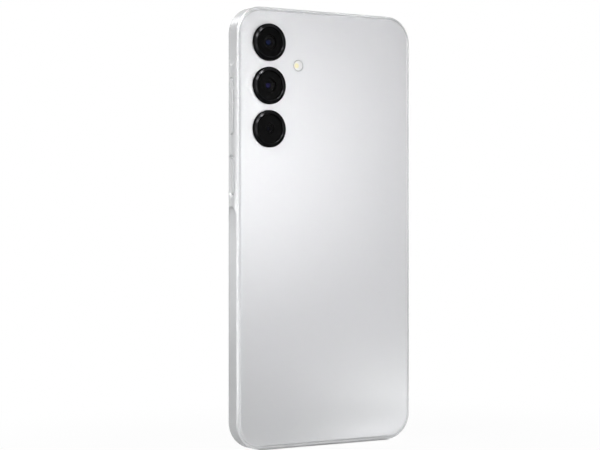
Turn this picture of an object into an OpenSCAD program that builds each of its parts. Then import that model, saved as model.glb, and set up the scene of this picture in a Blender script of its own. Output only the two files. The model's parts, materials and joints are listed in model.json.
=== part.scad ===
// Slab smartphone standing upright on its lower edge.
// +X is the side with the keys, +Y the rear cover, -Y the screen and +Z the top.
// The origin is the middle of the lower edge, half way through the thickness.

/* [Body] */
// Width across the flat sides
body_w = 77.9; // [77.7:0.1:78.3]
// Height of the standing phone
body_h = 164.4; // [164.2:0.1:164.8]
// Thickness from the screen glass to the rear cover
body_t = 7.9; // [7.88:0.01:7.95]
// Corner radius seen from the front
corner_r = 10.2; // [9.8:0.1:10.6]

/* [Side frame] */
// Depth of the flat band round the sides
side_flat = 5.54; // [5.4:0.02:5.6]
// Drop from the rear face to the flat band
rim_drop = 0.7; // [0.66:0.01:0.74]
// Width of the bevel round the rear
rim_w = 1.0; // [0.9:0.05:1.05]
// Rise of the bevel round the rear
rim_rise = 0.27; // [0.22:0.01:0.3]
// Width of the rounded rim round the front
front_rim_w = 0.95; // [0.85:0.05:1]
// Height of the screen glass above the front rim
front_rim_drop = 0.5; // [0.45:0.01:0.52]
// Wall thickness of the ring
wall_t = 2.0; // [1.95:0.05:2.05]

/* [Screen and rear cover] */
// Thickness of the screen glass
glass_t = 0.6; // [0.55:0.05:0.65]
// Thickness of the display panel
panel_t = 0.8; // [0.75:0.05:0.8]
// Thickness of the rear cover
cover_t = 0.85; // [0.8:0.01:0.86]
// Run of the rear cover's rounded edge
cover_edge_run = 0.62; // [0.5:0.02:0.7]
// Height of the rear cover's rounded edge
cover_edge_rise = 0.43; // [0.35:0.01:0.5]
// Run of the screen glass's rounded edge
glass_edge_run = 0.9; // [0.7:0.05:1]
// Height of the screen glass's rounded edge
glass_edge_rise = 0.4; // [0.3:0.02:0.44]
// Assembly gap round each cover
seam = 0.05; // [0.04:0.01:0.08]
// Thickness of the adhesive under each cover
glue_t = 0.15; // [0.1:0.01:0.15]

/* [Key island] */
// Height of the convex island above the flat side
island_h = 0.75; // [0.6:0.05:0.8]
// Lower end of the island's full height
island_low_z = 90.2; // [89:0.1:91]
// Upper end of the island's full height
island_high_z = 142.2; // [141:0.1:143]
// Length of the ramp at each end of the island
island_ramp = 1.4; // [1:0.1:1.8]

/* [Keys] */
// Width of both keys
key_w = 2.8; // [2.6:0.1:3]
// Gap round each key
key_gap = 0.13; // [0.1:0.01:0.18]
// Length of the volume key
volume_l = 20.8; // [20:0.1:21]
// Height of the volume key's middle
volume_z = 127.1; // [126.8:0.1:127.4]
// How far the volume key stands above the island
volume_proud = 0.25; // [0.1:0.05:0.4]
// Length of the power key
power_l = 14.2; // [13.8:0.1:14.6]
// Height of the power key's middle
power_z = 101.5; // [101.2:0.1:101.8]
// How far the power key's face lies below the island's crest
power_sunk = 0.32; // [0.2:0.02:0.4]

/* [Rear cameras] */
// Distance of the camera column from the key side
camera_inset = 13.48; // [13.3:0.02:13.7]
// Height of the top camera
camera_top_z = 151.25; // [151:0.05:151.5]
// Distance between cameras
camera_pitch = 16.08; // [16:0.02:16.2]
// Outside diameter of a camera ring
ring_d = 13.96; // [13.6:0.02:14.2]
// Height of a camera ring above the rear cover
ring_proud = 1.15; // [1:0.05:1.25]
// Diameter of a camera glass
lens_glass_d = 10.6; // [10.4:0.1:10.8]
// Diameter of the flash window
flash_d = 4.2; // [4:0.1:4.4]
// Distance of the flash from the key side
flash_inset = 26.3; // [26.1:0.1:26.5]

/* [SIM tray] */
// Height of the tray door's middle
tray_z = 133.8; // [133.6:0.1:134]
// Length of the tray door
door_l = 17.6; // [17.4:0.1:17.7]
// Width of the tray door
door_w = 2.6; // [2.5:0.05:2.7]
// Length of the tray plate behind the door
tray_l = 26.8; // [26.6:0.1:26.9]
// Diameter of the eject hole
eject_d = 1.0; // [0.9:0.05:1.1]

/* [Lower edge] */
// Width of the USB-C tube
usb_w = 8.94; // [8.9:0.02:9]
// Depth of the USB-C tube
usb_d = 3.16; // [3.1:0.02:3.2]
// Number of loudspeaker slots
speaker_slots = 5; // [4:1:5]
// Distance between loudspeaker slots
slot_pitch = 3.1; // [2.9:0.1:3.2]
// Diameter of the microphone holes
mic_d = 1.0; // [0.8:0.1:1.2]

/* [Battery] */
// Width of the battery
battery_w = 63; // [60:0.5:63]
// Height of the battery
battery_h = 86; // [82:0.5:86]
// Thickness of the battery
battery_t = 4.4; // [4:0.1:4.45]

/* [Hidden] */
$fn = 64;

// Planes through the thickness
rear_y = body_t / 2;
front_y = -body_t / 2;
flat_rear_y = rear_y - rim_drop;
flat_front_y = flat_rear_y - side_flat;
side_y = (flat_rear_y + flat_front_y) / 2;
front_rim_y = front_y + front_rim_drop;
glass_rear_y = front_y + glass_t;
front_ledge_y = glass_rear_y + glue_t;
panel_rear_y = glass_rear_y + panel_t;
cover_under_y = rear_y - cover_t;
rear_ledge_y = cover_under_y - glue_t;
plate_front_y = -2.45;
plate_rear_y = -1.95;
board_front_y = -1.1;
board_rear_y = -0.3;
bracket_front_y = 2.1;
bracket_rear_y = 2.9;
flex_y = 0.4;
flex_t = 0.15;

// Outlines
half_w = body_w / 2;
mid_z = body_h / 2;
cover_inset = rim_w + seam;
glass_inset = front_rim_w + seam;
inner_x = half_w - wall_t;
overlap = 1;

// Key island
island_chord = side_flat - 0.1;
island_r = (island_chord * island_chord / 4 + island_h * island_h) / (2 * island_h);
island_crest_x = half_w + island_h;
island_tip_r = island_chord / 2;

// Keys and switches, measured inwards from the key side
flange_t = 0.8;
flange_x = inner_x - 1.4;
flange_lip_z = 1.0;
flange_half_y = key_w / 2 + 0.55;
pivot_r = 0.5;
pivot_gap = 0.02;
nub_r = 0.55;
nub_l = 0.8;
dome_h = 0.65;
key_flex_x = flange_x - nub_l - 0.05 - dome_h - flex_t;
bracket_x = key_flex_x - 0.5;
volume_dome_z = 6.5;
pocket_floor_x = half_w + 0.05;
pocket_gap = 0.15;

// Cameras
camera_x = half_w - camera_inset;
flash_x = half_w - flash_inset;
flash_z = camera_top_z - camera_pitch / 2;
ring_r = ring_d / 2;
ring_top_y = rear_y + ring_proud;
lens_glass_t = 0.43;
lens_glass_top_y = ring_top_y - 0.42;
lens_glass_y = lens_glass_top_y - lens_glass_t;
spigot_r = 6.3;
ring_bore_r = 4.6;
spigot_y = 3.05;
barrel_face_y = rear_y + 0.05;
ultrawide_s = 9;
main_s = 10.6;
macro_s = 6.5;
camera_top_y = 2.9;
barrel_r = 2.6;
macro_barrel_r = 1.75;
focus_r = 3.2;
focus_gap = 0.06;
focus_travel = 0.35;

// Tray and socket
tray_t = 0.8;
tray_w = 13.6;
door_t = 1.2;
door_gap = 0.08;
door_x = half_w - door_t;
tray_top_z = tray_z + 8.2;
tray_low_z = tray_top_z - tray_w;
tray_end_x = door_x - tray_l;
eject_z = tray_z - 7.05;
rod_s = 0.8;
lever_z = tray_z - 2.6;
lever_x = tray_end_x - 1.9;
lever_w = 1.0;
lever_t = 0.5;
lever_pin_r = 0.5;
socket_low_z = eject_z - 1.0;
socket_high_z = tray_top_z + 0.8;
socket_wall = 0.2;
socket_rear_y = 1.25;
socket_x0 = -inner_x + 0.45;
socket_x1 = -lever_x + 2.3;

// Boards, measured from the outline
board_low_z = 113.6;
board_high_z = body_h - 11.8;
board_left_x = -inner_x + 0.95;
board_right_x = camera_x - 6.67;
sub_low_z = 3.4;
sub_high_z = 20.4;
mic_top_x = 10;
mic_low_x = -13.5;
shield_h = 1.6;
shield_wall = 0.2;
usb_inner_wall = 0.25;
usb_low_z = 0.3;
usb_high_z = 8;

// Battery and its neighbours
battery_low_z = 24.5;
battery_high_z = battery_low_z + battery_h;
battery_x = -1;
terrace_high_z = 113;
link_x = -0.6;
link_w = 6;
cell_flex_x = 8.4;
cell_flex_w = 8;
screen_flex_x = -12;
screen_flex_w = 8;
plug_h = 3;
coax_x = -inner_x + 2.55;
coax_r = 0.45;

// Loudspeaker
speaker_x0 = 9;
speaker_x1 = 28.5;
speaker_z0 = 2.4;
speaker_z1 = 19.5;
speaker_wall = 0.6;
speaker_mid_x = (speaker_x0 + speaker_x1) / 2;
driver_z = 11.6;
magnet_w = 8;
magnet_h = 6;
slot_l = 2.2;
slot_w = 1.1;

// Vibration motor
motor_x = -25;
motor_z = 12.8;
motor_r = 4;
motor_wall = 0.2;
motor_high_y = 2;
motor_shaft_r = 0.4;

// Front camera and earpiece
front_camera_z = body_h - 7;
front_barrel_r = 1.7;
notch_r = 2.6;
slit_w = 9.6;
slit_h = 0.5;

// Screws, as x and z of each
screw_head_r = 1.25;
screw_head_h = 0.43;
screw_r = 0.6;
screw_boss_r = 1.5;
screw_end_y = plate_rear_y + 0.05;
screw_seat_y = bracket_rear_y - screw_head_h - 0.02;
top_screws = [[-33.4, 121.2], [-33.4, 147.6], [-6.6, 147.6], [16.4, 150.6], [16.4, 117], [-6, 116.6]];
low_screws = [[-31.4, 18.6], [-18, 18.2], [-18, 5.6], [5.8, 18.4], [5.8, 11]];
ear_screws = [[31.2, 17], [31.2, 8.4]];
all_screws = concat(top_screws, low_screws, ear_screws);

// Cross-section of the ring: distance in from the flat side, and place through the thickness
front_steps = 6;
function inset(n, y) = [corner_r - n, y];
frame_profile = concat(
    [inset(0, flat_front_y), inset(0, flat_rear_y), inset(rim_w, flat_rear_y + rim_rise)],
    [inset(rim_w, rear_ledge_y), inset(wall_t, rear_ledge_y), inset(wall_t, front_ledge_y)],
    [inset(front_rim_w, front_ledge_y)],
    [for (i = [front_steps : -1 : 1])
        let (t = 90 * i / front_steps)
        inset(front_rim_w * (1 - cos(t)), flat_front_y + (front_rim_y - flat_front_y) * sin(t))]
);

// Half section of a plate with one rounded edge, from its middle out to its edge radius
edge_steps = 6;
function edge_profile(r, back_y, face_y, run, rise) = concat(
    [[0, face_y], [0, back_y], [r, back_y]],
    [for (i = [0 : edge_steps])
        let (t = 90 * i / edge_steps)
        [r - run * (1 - cos(t)), face_y - sign(face_y - back_y) * rise * (1 - sin(t))]]
);

// Shared shapes

module rounded_rect(w, h, r) {
    square([w - 2 * r, h], center = true);
    square([w, h - 2 * r], center = true);
    for (x = [-1, 1], y = [-1, 1])
        translate([x * (w / 2 - r), y * (h / 2 - r)]) circle(r);
}

module stadium(w, l) {
    square([w, l - w], center = true);
    for (end = [-1, 1])
        translate([0, end * (l - w) / 2]) circle(w / 2);
}

// Draws a flat outline in X and Z, thick from y0 to y1
module plate(y0, y1) {
    translate([0, y1, 0]) rotate([90, 0, 0]) linear_extrude(y1 - y0) children();
}

// Draws a flat outline in Y and Z, thick from x0 to x1
module slice_x(x0, x1) {
    translate([x0, 0, 0]) rotate([90, 0, 90]) linear_extrude(x1 - x0) children();
}

// Stands a turned shape on a camera, screw or motor axis
module on_axis(x, z) {
    translate([x, 0, z]) rotate([-90, 0, 0]) children();
}

module rod_y(x, z, r, y0, y1) {
    on_axis(x, z) translate([0, 0, y0]) cylinder(r = r, h = y1 - y0);
}

module block(x0, x1, y0, y1, z0, z1) {
    translate([x0, y0, z0]) cube([x1 - x0, y1 - y0, z1 - z0]);
}

// Sweeps a cross-section round a rounded rectangle
module rim(w, h, r) {
    for (side = [0, 1])
        mirror([side, 0, 0]) {
            translate([w / 2 - r, 0, r - h / 2]) linear_extrude(h - 2 * r) children();
            for (end = [0, 1])
                mirror([0, 0, end])
                    translate([w / 2 - r, 0, h / 2 - r])
                        rotate([0, -90, 0]) rotate([-90, 0, 0]) rotate_extrude(angle = 90) children();
        }
    for (end = [0, 1])
        mirror([0, 0, end])
            translate([w / 2 - r, 0, h / 2 - r]) rotate([0, -90, 0]) linear_extrude(w - 2 * r) children();
}

// A plate with one rounded edge
module edged_plate(w, h, r, back_y, face_y, run, rise) {
    translate([0, 0, mid_z]) {
        rim(w, h, r) polygon(edge_profile(r, back_y, face_y, run, rise));
        plate(min(back_y, face_y), max(back_y, face_y)) square([w - 2 * r, h - 2 * r], center = true);
    }
}

// A prism with round ends whose faces slope in by one unit for each unit of height
module bevelled_stadium(w, l, run, rise) {
    straight = l - w;
    for (end = [-1, 1])
        translate([0, 0, end * straight / 2]) rotate([0, 90, 0]) cylinder(r1 = w / 2, r2 = w / 2 - run, h = rise);
    translate([0, 0, -straight / 2]) linear_extrude(straight)
        polygon([[0, -w / 2], [rise, run - w / 2], [rise, w / 2 - run], [0, w / 2]]);
}

// Shapes cut out of several pieces

module inner_outline(gap) {
    translate([0, mid_z])
        rounded_rect(body_w - 2 * (wall_t + gap), body_h - 2 * (wall_t + gap), corner_r - wall_t - gap);
}

module key_slot(z, l, w) {
    translate([0, side_y, z]) slice_x(inner_x - overlap, half_w + 2 * overlap) stadium(w, l);
}

module screw_holes(places, r, y0, y1) {
    for (p = places)
        rod_y(p[0], p[1], r, y0, y1);
}

// Outer pieces

module key_island() {
    difference() {
        intersection() {
            translate([island_crest_x - island_r, side_y, island_low_z - 2 * island_tip_r])
                cylinder(r = island_r, h = island_high_z - island_low_z + 4 * island_tip_r, $fn = 128);
            block(half_w - wall_t / 2, island_crest_x + overlap, flat_front_y, flat_rear_y,
                island_low_z - 2 * island_tip_r, island_high_z + 2 * island_tip_r);
        }
        for (end = [[island_low_z, -1], [island_high_z, 1]]) {
            tip_z = end[0] + end[1] * (island_ramp + island_tip_r);
            translate([half_w, side_y, tip_z]) rotate([0, 90, 0])
                cylinder(r1 = island_tip_r, r2 = island_tip_r + 2 * island_ramp, h = 2 * island_h);
            block(half_w, island_crest_x + overlap, flat_front_y - overlap, flat_rear_y + overlap,
                min(tip_z, tip_z + 3 * end[1] * island_tip_r), max(tip_z, tip_z + 3 * end[1] * island_tip_r));
        }
    }
}

module tray_opening() {
    mirror([1, 0, 0]) translate([0, side_y, tray_z]) {
        slice_x(door_x - door_gap, half_w + overlap) stadium(door_w + 2 * door_gap, door_l + 2 * door_gap);
        slice_x(inner_x - overlap, half_w) stadium(door_w - 0.6, door_l - 0.6);
    }
}

module lower_openings() {
    translate([0, side_y, -overlap]) {
        linear_extrude(wall_t + 2 * overlap) rotate(90) stadium(usb_d + 0.2, usb_w + 0.2);
        for (i = [0 : speaker_slots - 1])
            translate([speaker_mid_x + (i - (speaker_slots - 1) / 2) * slot_pitch, 0, 0])
                linear_extrude(wall_t + 2 * overlap) rotate(90) stadium(slot_w, slot_l);
        translate([mic_low_x, 0, 0]) cylinder(d = mic_d, h = wall_t + 2 * overlap);
        translate([mic_top_x, 0, body_h - wall_t]) cylinder(d = mic_d, h = wall_t + 2 * overlap);
    }
}

module side_frame() {
    color("silver") difference() {
        union() {
            translate([0, 0, mid_z]) rim(body_w, body_h, corner_r) polygon(frame_profile);
            key_island();
        }
        key_slot(volume_z, volume_l + 2 * key_gap, key_w + 2 * key_gap);
        key_slot(power_z, power_l + 2 * pocket_gap, key_w + 2 * pocket_gap);
        translate([pocket_floor_x, side_y, power_z])
            bevelled_stadium(key_w + 2 * pocket_gap, power_l + 2 * pocket_gap, -island_h, island_h);
        tray_opening();
        lower_openings();
    }
}

module cover_glass() {
    color("black") difference() {
        edged_plate(body_w - 2 * glass_inset, body_h - 2 * glass_inset, corner_r - glass_inset,
            glass_rear_y, front_y, glass_edge_run, glass_edge_rise);
        block(-slit_w / 2, slit_w / 2, front_y - overlap, glass_rear_y + overlap,
            body_h - glass_inset - slit_h, body_h);
    }
}

module display_panel() {
    color("darkslategray") plate(glass_rear_y, panel_rear_y) difference() {
        inner_outline(0.15);
        translate([0, front_camera_z]) circle(notch_r);
        translate([-notch_r, front_camera_z]) square([2 * notch_r, body_h]);
    }
}

module display_adhesive() {
    color("dimgray") translate([0, 0, mid_z])
        rim(body_w, body_h, corner_r)
            polygon([inset(glass_inset + 0.1, glass_rear_y), inset(glass_inset + 0.1, front_ledge_y),
                inset(wall_t - 0.05, front_ledge_y), inset(wall_t - 0.05, glass_rear_y)]);
}

module back_cover() {
    color("whitesmoke") difference() {
        edged_plate(body_w - 2 * cover_inset, body_h - 2 * cover_inset, corner_r - cover_inset,
            cover_under_y, rear_y, cover_edge_run, cover_edge_rise);
        for (i = [0 : 2])
            rod_y(camera_x, camera_top_z - i * camera_pitch, spigot_r + seam, cover_under_y - overlap,
                rear_y + overlap);
        rod_y(flash_x, flash_z, flash_d / 2 + seam, cover_under_y - overlap, rear_y + overlap);
    }
}

module back_adhesive() {
    color("dimgray") translate([0, 0, mid_z])
        rim(body_w, body_h, corner_r)
            polygon([inset(cover_inset + 0.1, rear_ledge_y), inset(cover_inset + 0.1, cover_under_y),
                inset(wall_t - 0.05, cover_under_y), inset(wall_t - 0.05, rear_ledge_y)]);
}

// Rear cameras

module camera_ring(i) {
    color("black") on_axis(camera_x, camera_top_z - i * camera_pitch) rotate_extrude()
        polygon([[ring_bore_r, spigot_y], [spigot_r, spigot_y], [spigot_r, rear_y], [ring_r, rear_y],
            [ring_r, ring_top_y - 0.45], [ring_r - 0.12, ring_top_y - 0.15], [ring_r - 0.42, ring_top_y],
            [ring_r - 0.62, ring_top_y], [lens_glass_d / 2 + 0.1, lens_glass_top_y],
            [lens_glass_d / 2 + seam, lens_glass_top_y], [lens_glass_d / 2 + seam, lens_glass_y],
            [ring_bore_r, lens_glass_y]]);
}

module camera_ring_top() { camera_ring(0); }
module camera_ring_middle() { camera_ring(1); }
module camera_ring_bottom() { camera_ring(2); }

module camera_glass(i) {
    color("darkslategray")
        rod_y(camera_x, camera_top_z - i * camera_pitch, lens_glass_d / 2, lens_glass_y, lens_glass_top_y);
}

module camera_glass_top() { camera_glass(0); }
module camera_glass_middle() { camera_glass(1); }
module camera_glass_bottom() { camera_glass(2); }

module camera_block(i, s) {
    z = camera_top_z - i * camera_pitch;
    block(camera_x - s / 2, camera_x + s / 2, plate_rear_y, camera_top_y, z - s / 2, z + s / 2);
}

// A fixed barrel with a shallow cone in front of its glass
module fixed_barrel(i, r) {
    on_axis(camera_x, camera_top_z - i * camera_pitch) rotate_extrude()
        polygon([[0, camera_top_y], [r, camera_top_y], [r, barrel_face_y], [r - 0.35, barrel_face_y],
            [r * 0.5, barrel_face_y - 0.45], [0, barrel_face_y - 0.45]]);
}

module ultrawide_camera() { color("dimgray") camera_block(0, ultrawide_s); }
module ultrawide_lens() { color("black") fixed_barrel(0, barrel_r); }
module macro_camera() { color("dimgray") camera_block(2, macro_s); }
module macro_lens() { color("black") fixed_barrel(2, macro_barrel_r); }

module main_camera() {
    color("dimgray") difference() {
        camera_block(1, main_s);
        rod_y(camera_x, camera_top_z - camera_pitch, focus_r + focus_gap, plate_rear_y + 0.8,
            camera_top_y + overlap);
    }
}

module main_lens() {
    foot_y = plate_rear_y + 1.2;
    face_y = barrel_face_y - 0.15;
    color("black") on_axis(camera_x, camera_top_z - camera_pitch) rotate_extrude()
        polygon([[0, foot_y], [focus_r, foot_y], [focus_r, camera_top_y], [barrel_r, camera_top_y + 0.2],
            [barrel_r, face_y], [barrel_r - 0.35, face_y], [barrel_r * 0.5, face_y - 0.45],
            [0, face_y - 0.45]]);
}

module flex_with_plug(x0, x1, z, w) {
    block(board_right_x - 4.4, board_right_x - 0.6, board_rear_y, flex_y, z - w / 2, z + w / 2);
    block(x0, x1, flex_y, flex_y + flex_t, z - w / 2, z + w / 2);
}

module camera_flexes() {
    color("darkgoldenrod") {
        flex_with_plug(board_right_x - 4.4, camera_x - ultrawide_s / 2, 146.9, 2.4);
        flex_with_plug(board_right_x - 4.4, camera_x - main_s / 2, 135.1, 2.4);
        flex_with_plug(board_right_x - 4.4, camera_x - macro_s / 2, 120.7, 2.4);
    }
}

module flash_window() {
    color("white") {
        rod_y(flash_x, flash_z, flash_d / 2, cover_under_y, rear_y);
        rod_y(flash_x, flash_z, flash_d / 2 + 0.5, bracket_rear_y, cover_under_y);
    }
}

module flash_led() {
    color("gold") {
        block(flash_x - 1.4, flash_x + 1.4, board_rear_y, 2, flash_z - 1.4, flash_z + 1.4);
        block(flash_x - 0.85, flash_x + 0.85, 2, 2.55, flash_z - 0.85, flash_z + 0.85);
    }
}

// Chassis plate and boards

module mid_plate() {
    color("slategray") difference() {
        union() {
            plate(plate_front_y, plate_rear_y) inner_outline(0);
            screw_holes(all_screws, screw_boss_r, plate_rear_y, board_front_y);
        }
        screw_holes(all_screws, screw_r + 0.03, screw_end_y - 0.05, board_front_y + overlap);
        rod_y(0, front_camera_z, front_barrel_r + 0.15, plate_front_y - overlap, plate_rear_y + overlap);
        block(screen_flex_x - screen_flex_w / 2 - 0.5, screen_flex_x + screen_flex_w / 2 + 0.5,
            plate_front_y - overlap, plate_rear_y + overlap, 21.6, 23.4);
    }
}

module main_board() {
    color("darkgreen") difference() {
        union() {
            block(board_left_x, board_right_x, board_front_y, board_rear_y, board_low_z, board_high_z);
            block(mic_top_x - 2.6, mic_top_x + 2.6, board_front_y, board_rear_y, board_high_z, body_h - 3.8);
        }
        screw_holes(top_screws, screw_r + 0.2, board_front_y - overlap, board_rear_y + overlap);
    }
}

module board_chips() {
    chips = [[2.5, 138.5, 11, 11], [2.5, 126, 11, 9], [-26, 119.6, 6, 6], [-17, 119.6, 7, 5], [-22, 148, 8, 4]];
    color("black")
        for (c = chips)
            block(c[0] - c[2] / 2, c[0] + c[2] / 2, board_rear_y, board_rear_y + 0.9,
                c[1] - c[3] / 2, c[1] + c[3] / 2);
}

module shield(x0, x1, z0, z1, foot_y, top_y) {
    inner_top_y = top_y - sign(top_y - foot_y) * shield_wall;
    difference() {
        block(x0, x1, min(foot_y, top_y), max(foot_y, top_y), z0, z1);
        block(x0 + shield_wall, x1 - shield_wall, min(foot_y, inner_top_y), max(foot_y, inner_top_y),
            z0 + shield_wall, z1 - shield_wall);
    }
}

module board_shields() {
    color("lightgray") {
        shield(-4.4, 9.6, 119.5, 147.5, board_rear_y, board_rear_y + shield_h);
        shield(-31, -9, 115.4, 123.8, board_rear_y, board_rear_y + shield_h);
        shield(-29, -9, 144.7, 151.5, board_rear_y, board_rear_y + shield_h);
        shield(-4.4, 9.6, 119.5, 147.5, board_front_y, plate_rear_y + 0.1);
    }
}

module sub_board() {
    color("darkgreen") difference() {
        plate(board_front_y, board_rear_y) intersection() {
            inner_outline(0.4);
            translate([-body_w / 2, sub_low_z]) square([body_w, sub_high_z - sub_low_z]);
        }
        block(-usb_w / 2 - 0.3, usb_w / 2 + 0.3, board_front_y - overlap, board_rear_y + overlap,
            0, usb_high_z + 0.4);
        screw_holes(concat(low_screws, ear_screws), screw_r + 0.2, board_front_y - overlap,
            board_rear_y + overlap);
    }
}

module usb_tube() {
    color("lightgray") translate([0, side_y, usb_low_z]) linear_extrude(usb_high_z - usb_low_z) rotate(90)
        difference() {
            stadium(usb_d, usb_w);
            stadium(usb_d - 2 * usb_inner_wall, usb_w - 2 * usb_inner_wall);
        }
}

module usb_tongue() {
    color("black") {
        block(-3.35, 3.35, side_y - 0.35, side_y + 0.35, 1.6, 6.6);
        translate([0, side_y, 6.6]) linear_extrude(1.3) rotate(90)
            stadium(usb_d - 2 * usb_inner_wall, usb_w - 2 * usb_inner_wall);
    }
}

module usb_contacts() {
    contact_t = 0.05;
    color("gold")
        for (i = [0 : 11], side = [-1, 1]) {
            x = (i - 5.5) * 0.5;
            y = side_y + side * (0.35 + contact_t / 2);
            block(x - 0.13, x + 0.13, y - contact_t / 2, y + contact_t / 2, 2, 5.6);
        }
}

// Battery and cables

module battery() {
    color("dimgray") {
        plate(plate_rear_y, plate_rear_y + battery_t)
            translate([battery_x, (battery_low_z + battery_high_z) / 2])
                rounded_rect(battery_w, battery_h, 1.5);
        block(battery_x - battery_w / 2 + 2.5, battery_x + battery_w / 2 - 2.5, -1.2, 1.2,
            battery_high_z, terrace_high_z);
    }
}

module battery_flex() {
    color("darkgoldenrod") {
        block(cell_flex_x - cell_flex_w / 2, cell_flex_x + cell_flex_w / 2, flex_y, flex_y + flex_t,
            terrace_high_z, board_low_z + 0.4 + plug_h);
        block(cell_flex_x - cell_flex_w / 2, cell_flex_x + cell_flex_w / 2, board_rear_y, flex_y,
            board_low_z + 0.4, board_low_z + 0.4 + plug_h);
    }
}

module interconnect_flex() {
    x0 = link_x - link_w / 2;
    x1 = link_x + link_w / 2;
    run_y = 2.55;
    high_z = terrace_high_z + 0.15;
    low_z = 22;
    color("darkgoldenrod") {
        block(x0, x1, run_y, run_y + flex_t, low_z, high_z + flex_t);
        block(x0, x1, flex_y, run_y, high_z, high_z + flex_t);
        block(x0, x1, flex_y, flex_y + flex_t, high_z, board_low_z + 0.4 + plug_h);
        block(x0, x1, board_rear_y, flex_y, board_low_z + 0.4, board_low_z + 0.4 + plug_h);
        block(x0, x1, flex_y, run_y, low_z, low_z + flex_t);
        block(x0, x1, flex_y, flex_y + flex_t, 16.5, low_z + flex_t);
        block(x0, x1, board_rear_y, flex_y, 16.5, 16.5 + plug_h);
    }
}

module display_flex() {
    x0 = screen_flex_x - screen_flex_w / 2;
    x1 = screen_flex_x + screen_flex_w / 2;
    color("darkgoldenrod") {
        block(x0, x1, panel_rear_y, flex_y, 22.4, 22.4 + flex_t);
        block(x0, x1, flex_y, flex_y + flex_t, 16.5, 22.4 + flex_t);
        block(x0, x1, board_rear_y, flex_y, 16.5, 16.5 + plug_h);
    }
}

module coax_lead() {
    low_z = 14.6;
    high_z = 116.4;
    lead_y = 0.35;
    color("black") {
        translate([coax_x, lead_y, low_z]) cylinder(r = coax_r, h = high_z - low_z);
        for (z = [low_z, high_z])
            rod_y(coax_x, z, 1, board_rear_y, lead_y + coax_r + 0.1);
    }
}

// Sound and vibration

module speaker_box() {
    color("black") difference() {
        union() {
            block(speaker_x0, speaker_x1, board_rear_y, bracket_front_y, speaker_z0, speaker_z1);
            screw_holes(ear_screws, screw_boss_r, board_rear_y, bracket_front_y);
            for (p = ear_screws)
                block(speaker_x1, p[0], board_rear_y, bracket_front_y, p[1] - 0.5, p[1] + 0.5);
        }
        block(speaker_x0 + speaker_wall, speaker_x1 - speaker_wall, board_rear_y + speaker_wall,
            bracket_front_y + overlap, speaker_z0 + speaker_wall, speaker_z1 - speaker_wall);
        block(speaker_mid_x - 7.5, speaker_mid_x + 7.5, side_y, side_y + 1, speaker_z0 - overlap,
            speaker_z0 + overlap);
        screw_holes(ear_screws, screw_r + 0.15, board_rear_y - overlap, bracket_front_y + overlap);
    }
}

module speaker_lid() {
    color("black") difference() {
        union() {
            block(speaker_x0, speaker_x1, bracket_front_y, bracket_rear_y, speaker_z0, speaker_z1);
            for (p = ear_screws)
                block(speaker_x1, p[0] + 1.6, bracket_front_y, bracket_rear_y, p[1] - 1.6, p[1] + 1.6);
        }
        screw_holes(ear_screws, screw_r + 0.15, bracket_front_y - overlap, bracket_rear_y + overlap);
        screw_holes(ear_screws, screw_head_r + 0.15, screw_seat_y, bracket_rear_y + overlap);
    }
}

module speaker_magnet() {
    color("silver")
        block(speaker_mid_x - magnet_w / 2, speaker_mid_x + magnet_w / 2, board_rear_y + speaker_wall, 1.05,
            driver_z - magnet_h / 2, driver_z + magnet_h / 2);
}

module speaker_diaphragm() {
    color("dimgray") {
        translate([speaker_mid_x, 0, driver_z]) {
            plate(1.38, 1.58) rounded_rect(15, 11.5, 2);
            plate(0.7, 1.38) difference() {
                square([magnet_w + 1.4, magnet_h + 1.4], center = true);
                square([magnet_w + 0.6, magnet_h + 0.6], center = true);
            }
        }
    }
}

module dust_meshes() {
    color("dimgray") {
        block(speaker_mid_x - 8, speaker_mid_x + 8, side_y - 0.9, side_y + 0.9, wall_t, wall_t + 0.3);
        block(-slit_w / 2 + 0.1, slit_w / 2 - 0.1, front_y + 0.3, glass_rear_y,
            body_h - glass_inset - slit_h + 0.05, body_h - glass_inset - 0.05);
    }
}

module earpiece() {
    color("silver") block(-16.5, -5.5, plate_rear_y, 0.45, body_h - 9.4, body_h - 3.6);
}

module front_camera() {
    color("black") {
        block(-3.25, 3.25, plate_rear_y, 1.4, front_camera_z - 3.25, front_camera_z + 3.25);
        on_axis(0, front_camera_z) rotate_extrude()
            polygon([[0, plate_rear_y], [front_barrel_r, plate_rear_y], [front_barrel_r, glass_rear_y + 0.05],
                [front_barrel_r - 0.4, glass_rear_y + 0.05], [0.7, glass_rear_y + 0.4],
                [0, glass_rear_y + 0.4]]);
    }
}

module microphones() {
    color("silver") {
        block(mic_low_x - 1.8, mic_low_x + 1.8, board_rear_y, 0.8, sub_low_z + 0.3, sub_low_z + 2.9);
        block(mic_top_x - 1.8, mic_top_x + 1.8, board_rear_y, 0.8, body_h - 6.8, body_h - 4.2);
    }
}

module vibration_can() {
    color("silver") {
        difference() {
            rod_y(motor_x, motor_z, motor_r, board_rear_y, motor_high_y);
            rod_y(motor_x, motor_z, motor_r - motor_wall, board_rear_y + motor_wall, motor_high_y - motor_wall);
        }
        rod_y(motor_x, motor_z, motor_shaft_r, board_rear_y + motor_wall, motor_high_y - motor_wall);
    }
}

module vibration_rotor() {
    rotor_r = motor_r - motor_wall - 0.3;
    low_y = board_rear_y + motor_wall + 0.25;
    high_y = motor_high_y - motor_wall - 0.25;
    color("goldenrod") difference() {
        union() {
            intersection() {
                rod_y(motor_x, motor_z, rotor_r, low_y, high_y);
                block(motor_x - motor_r, motor_x + motor_r, low_y, high_y, motor_z - motor_r, motor_z - 0.2);
            }
            rod_y(motor_x, motor_z, 1, low_y, high_y);
        }
        rod_y(motor_x, motor_z, motor_shaft_r + 0.04, low_y - overlap, high_y + overlap);
    }
}

// SIM tray and its eject gear

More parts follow.
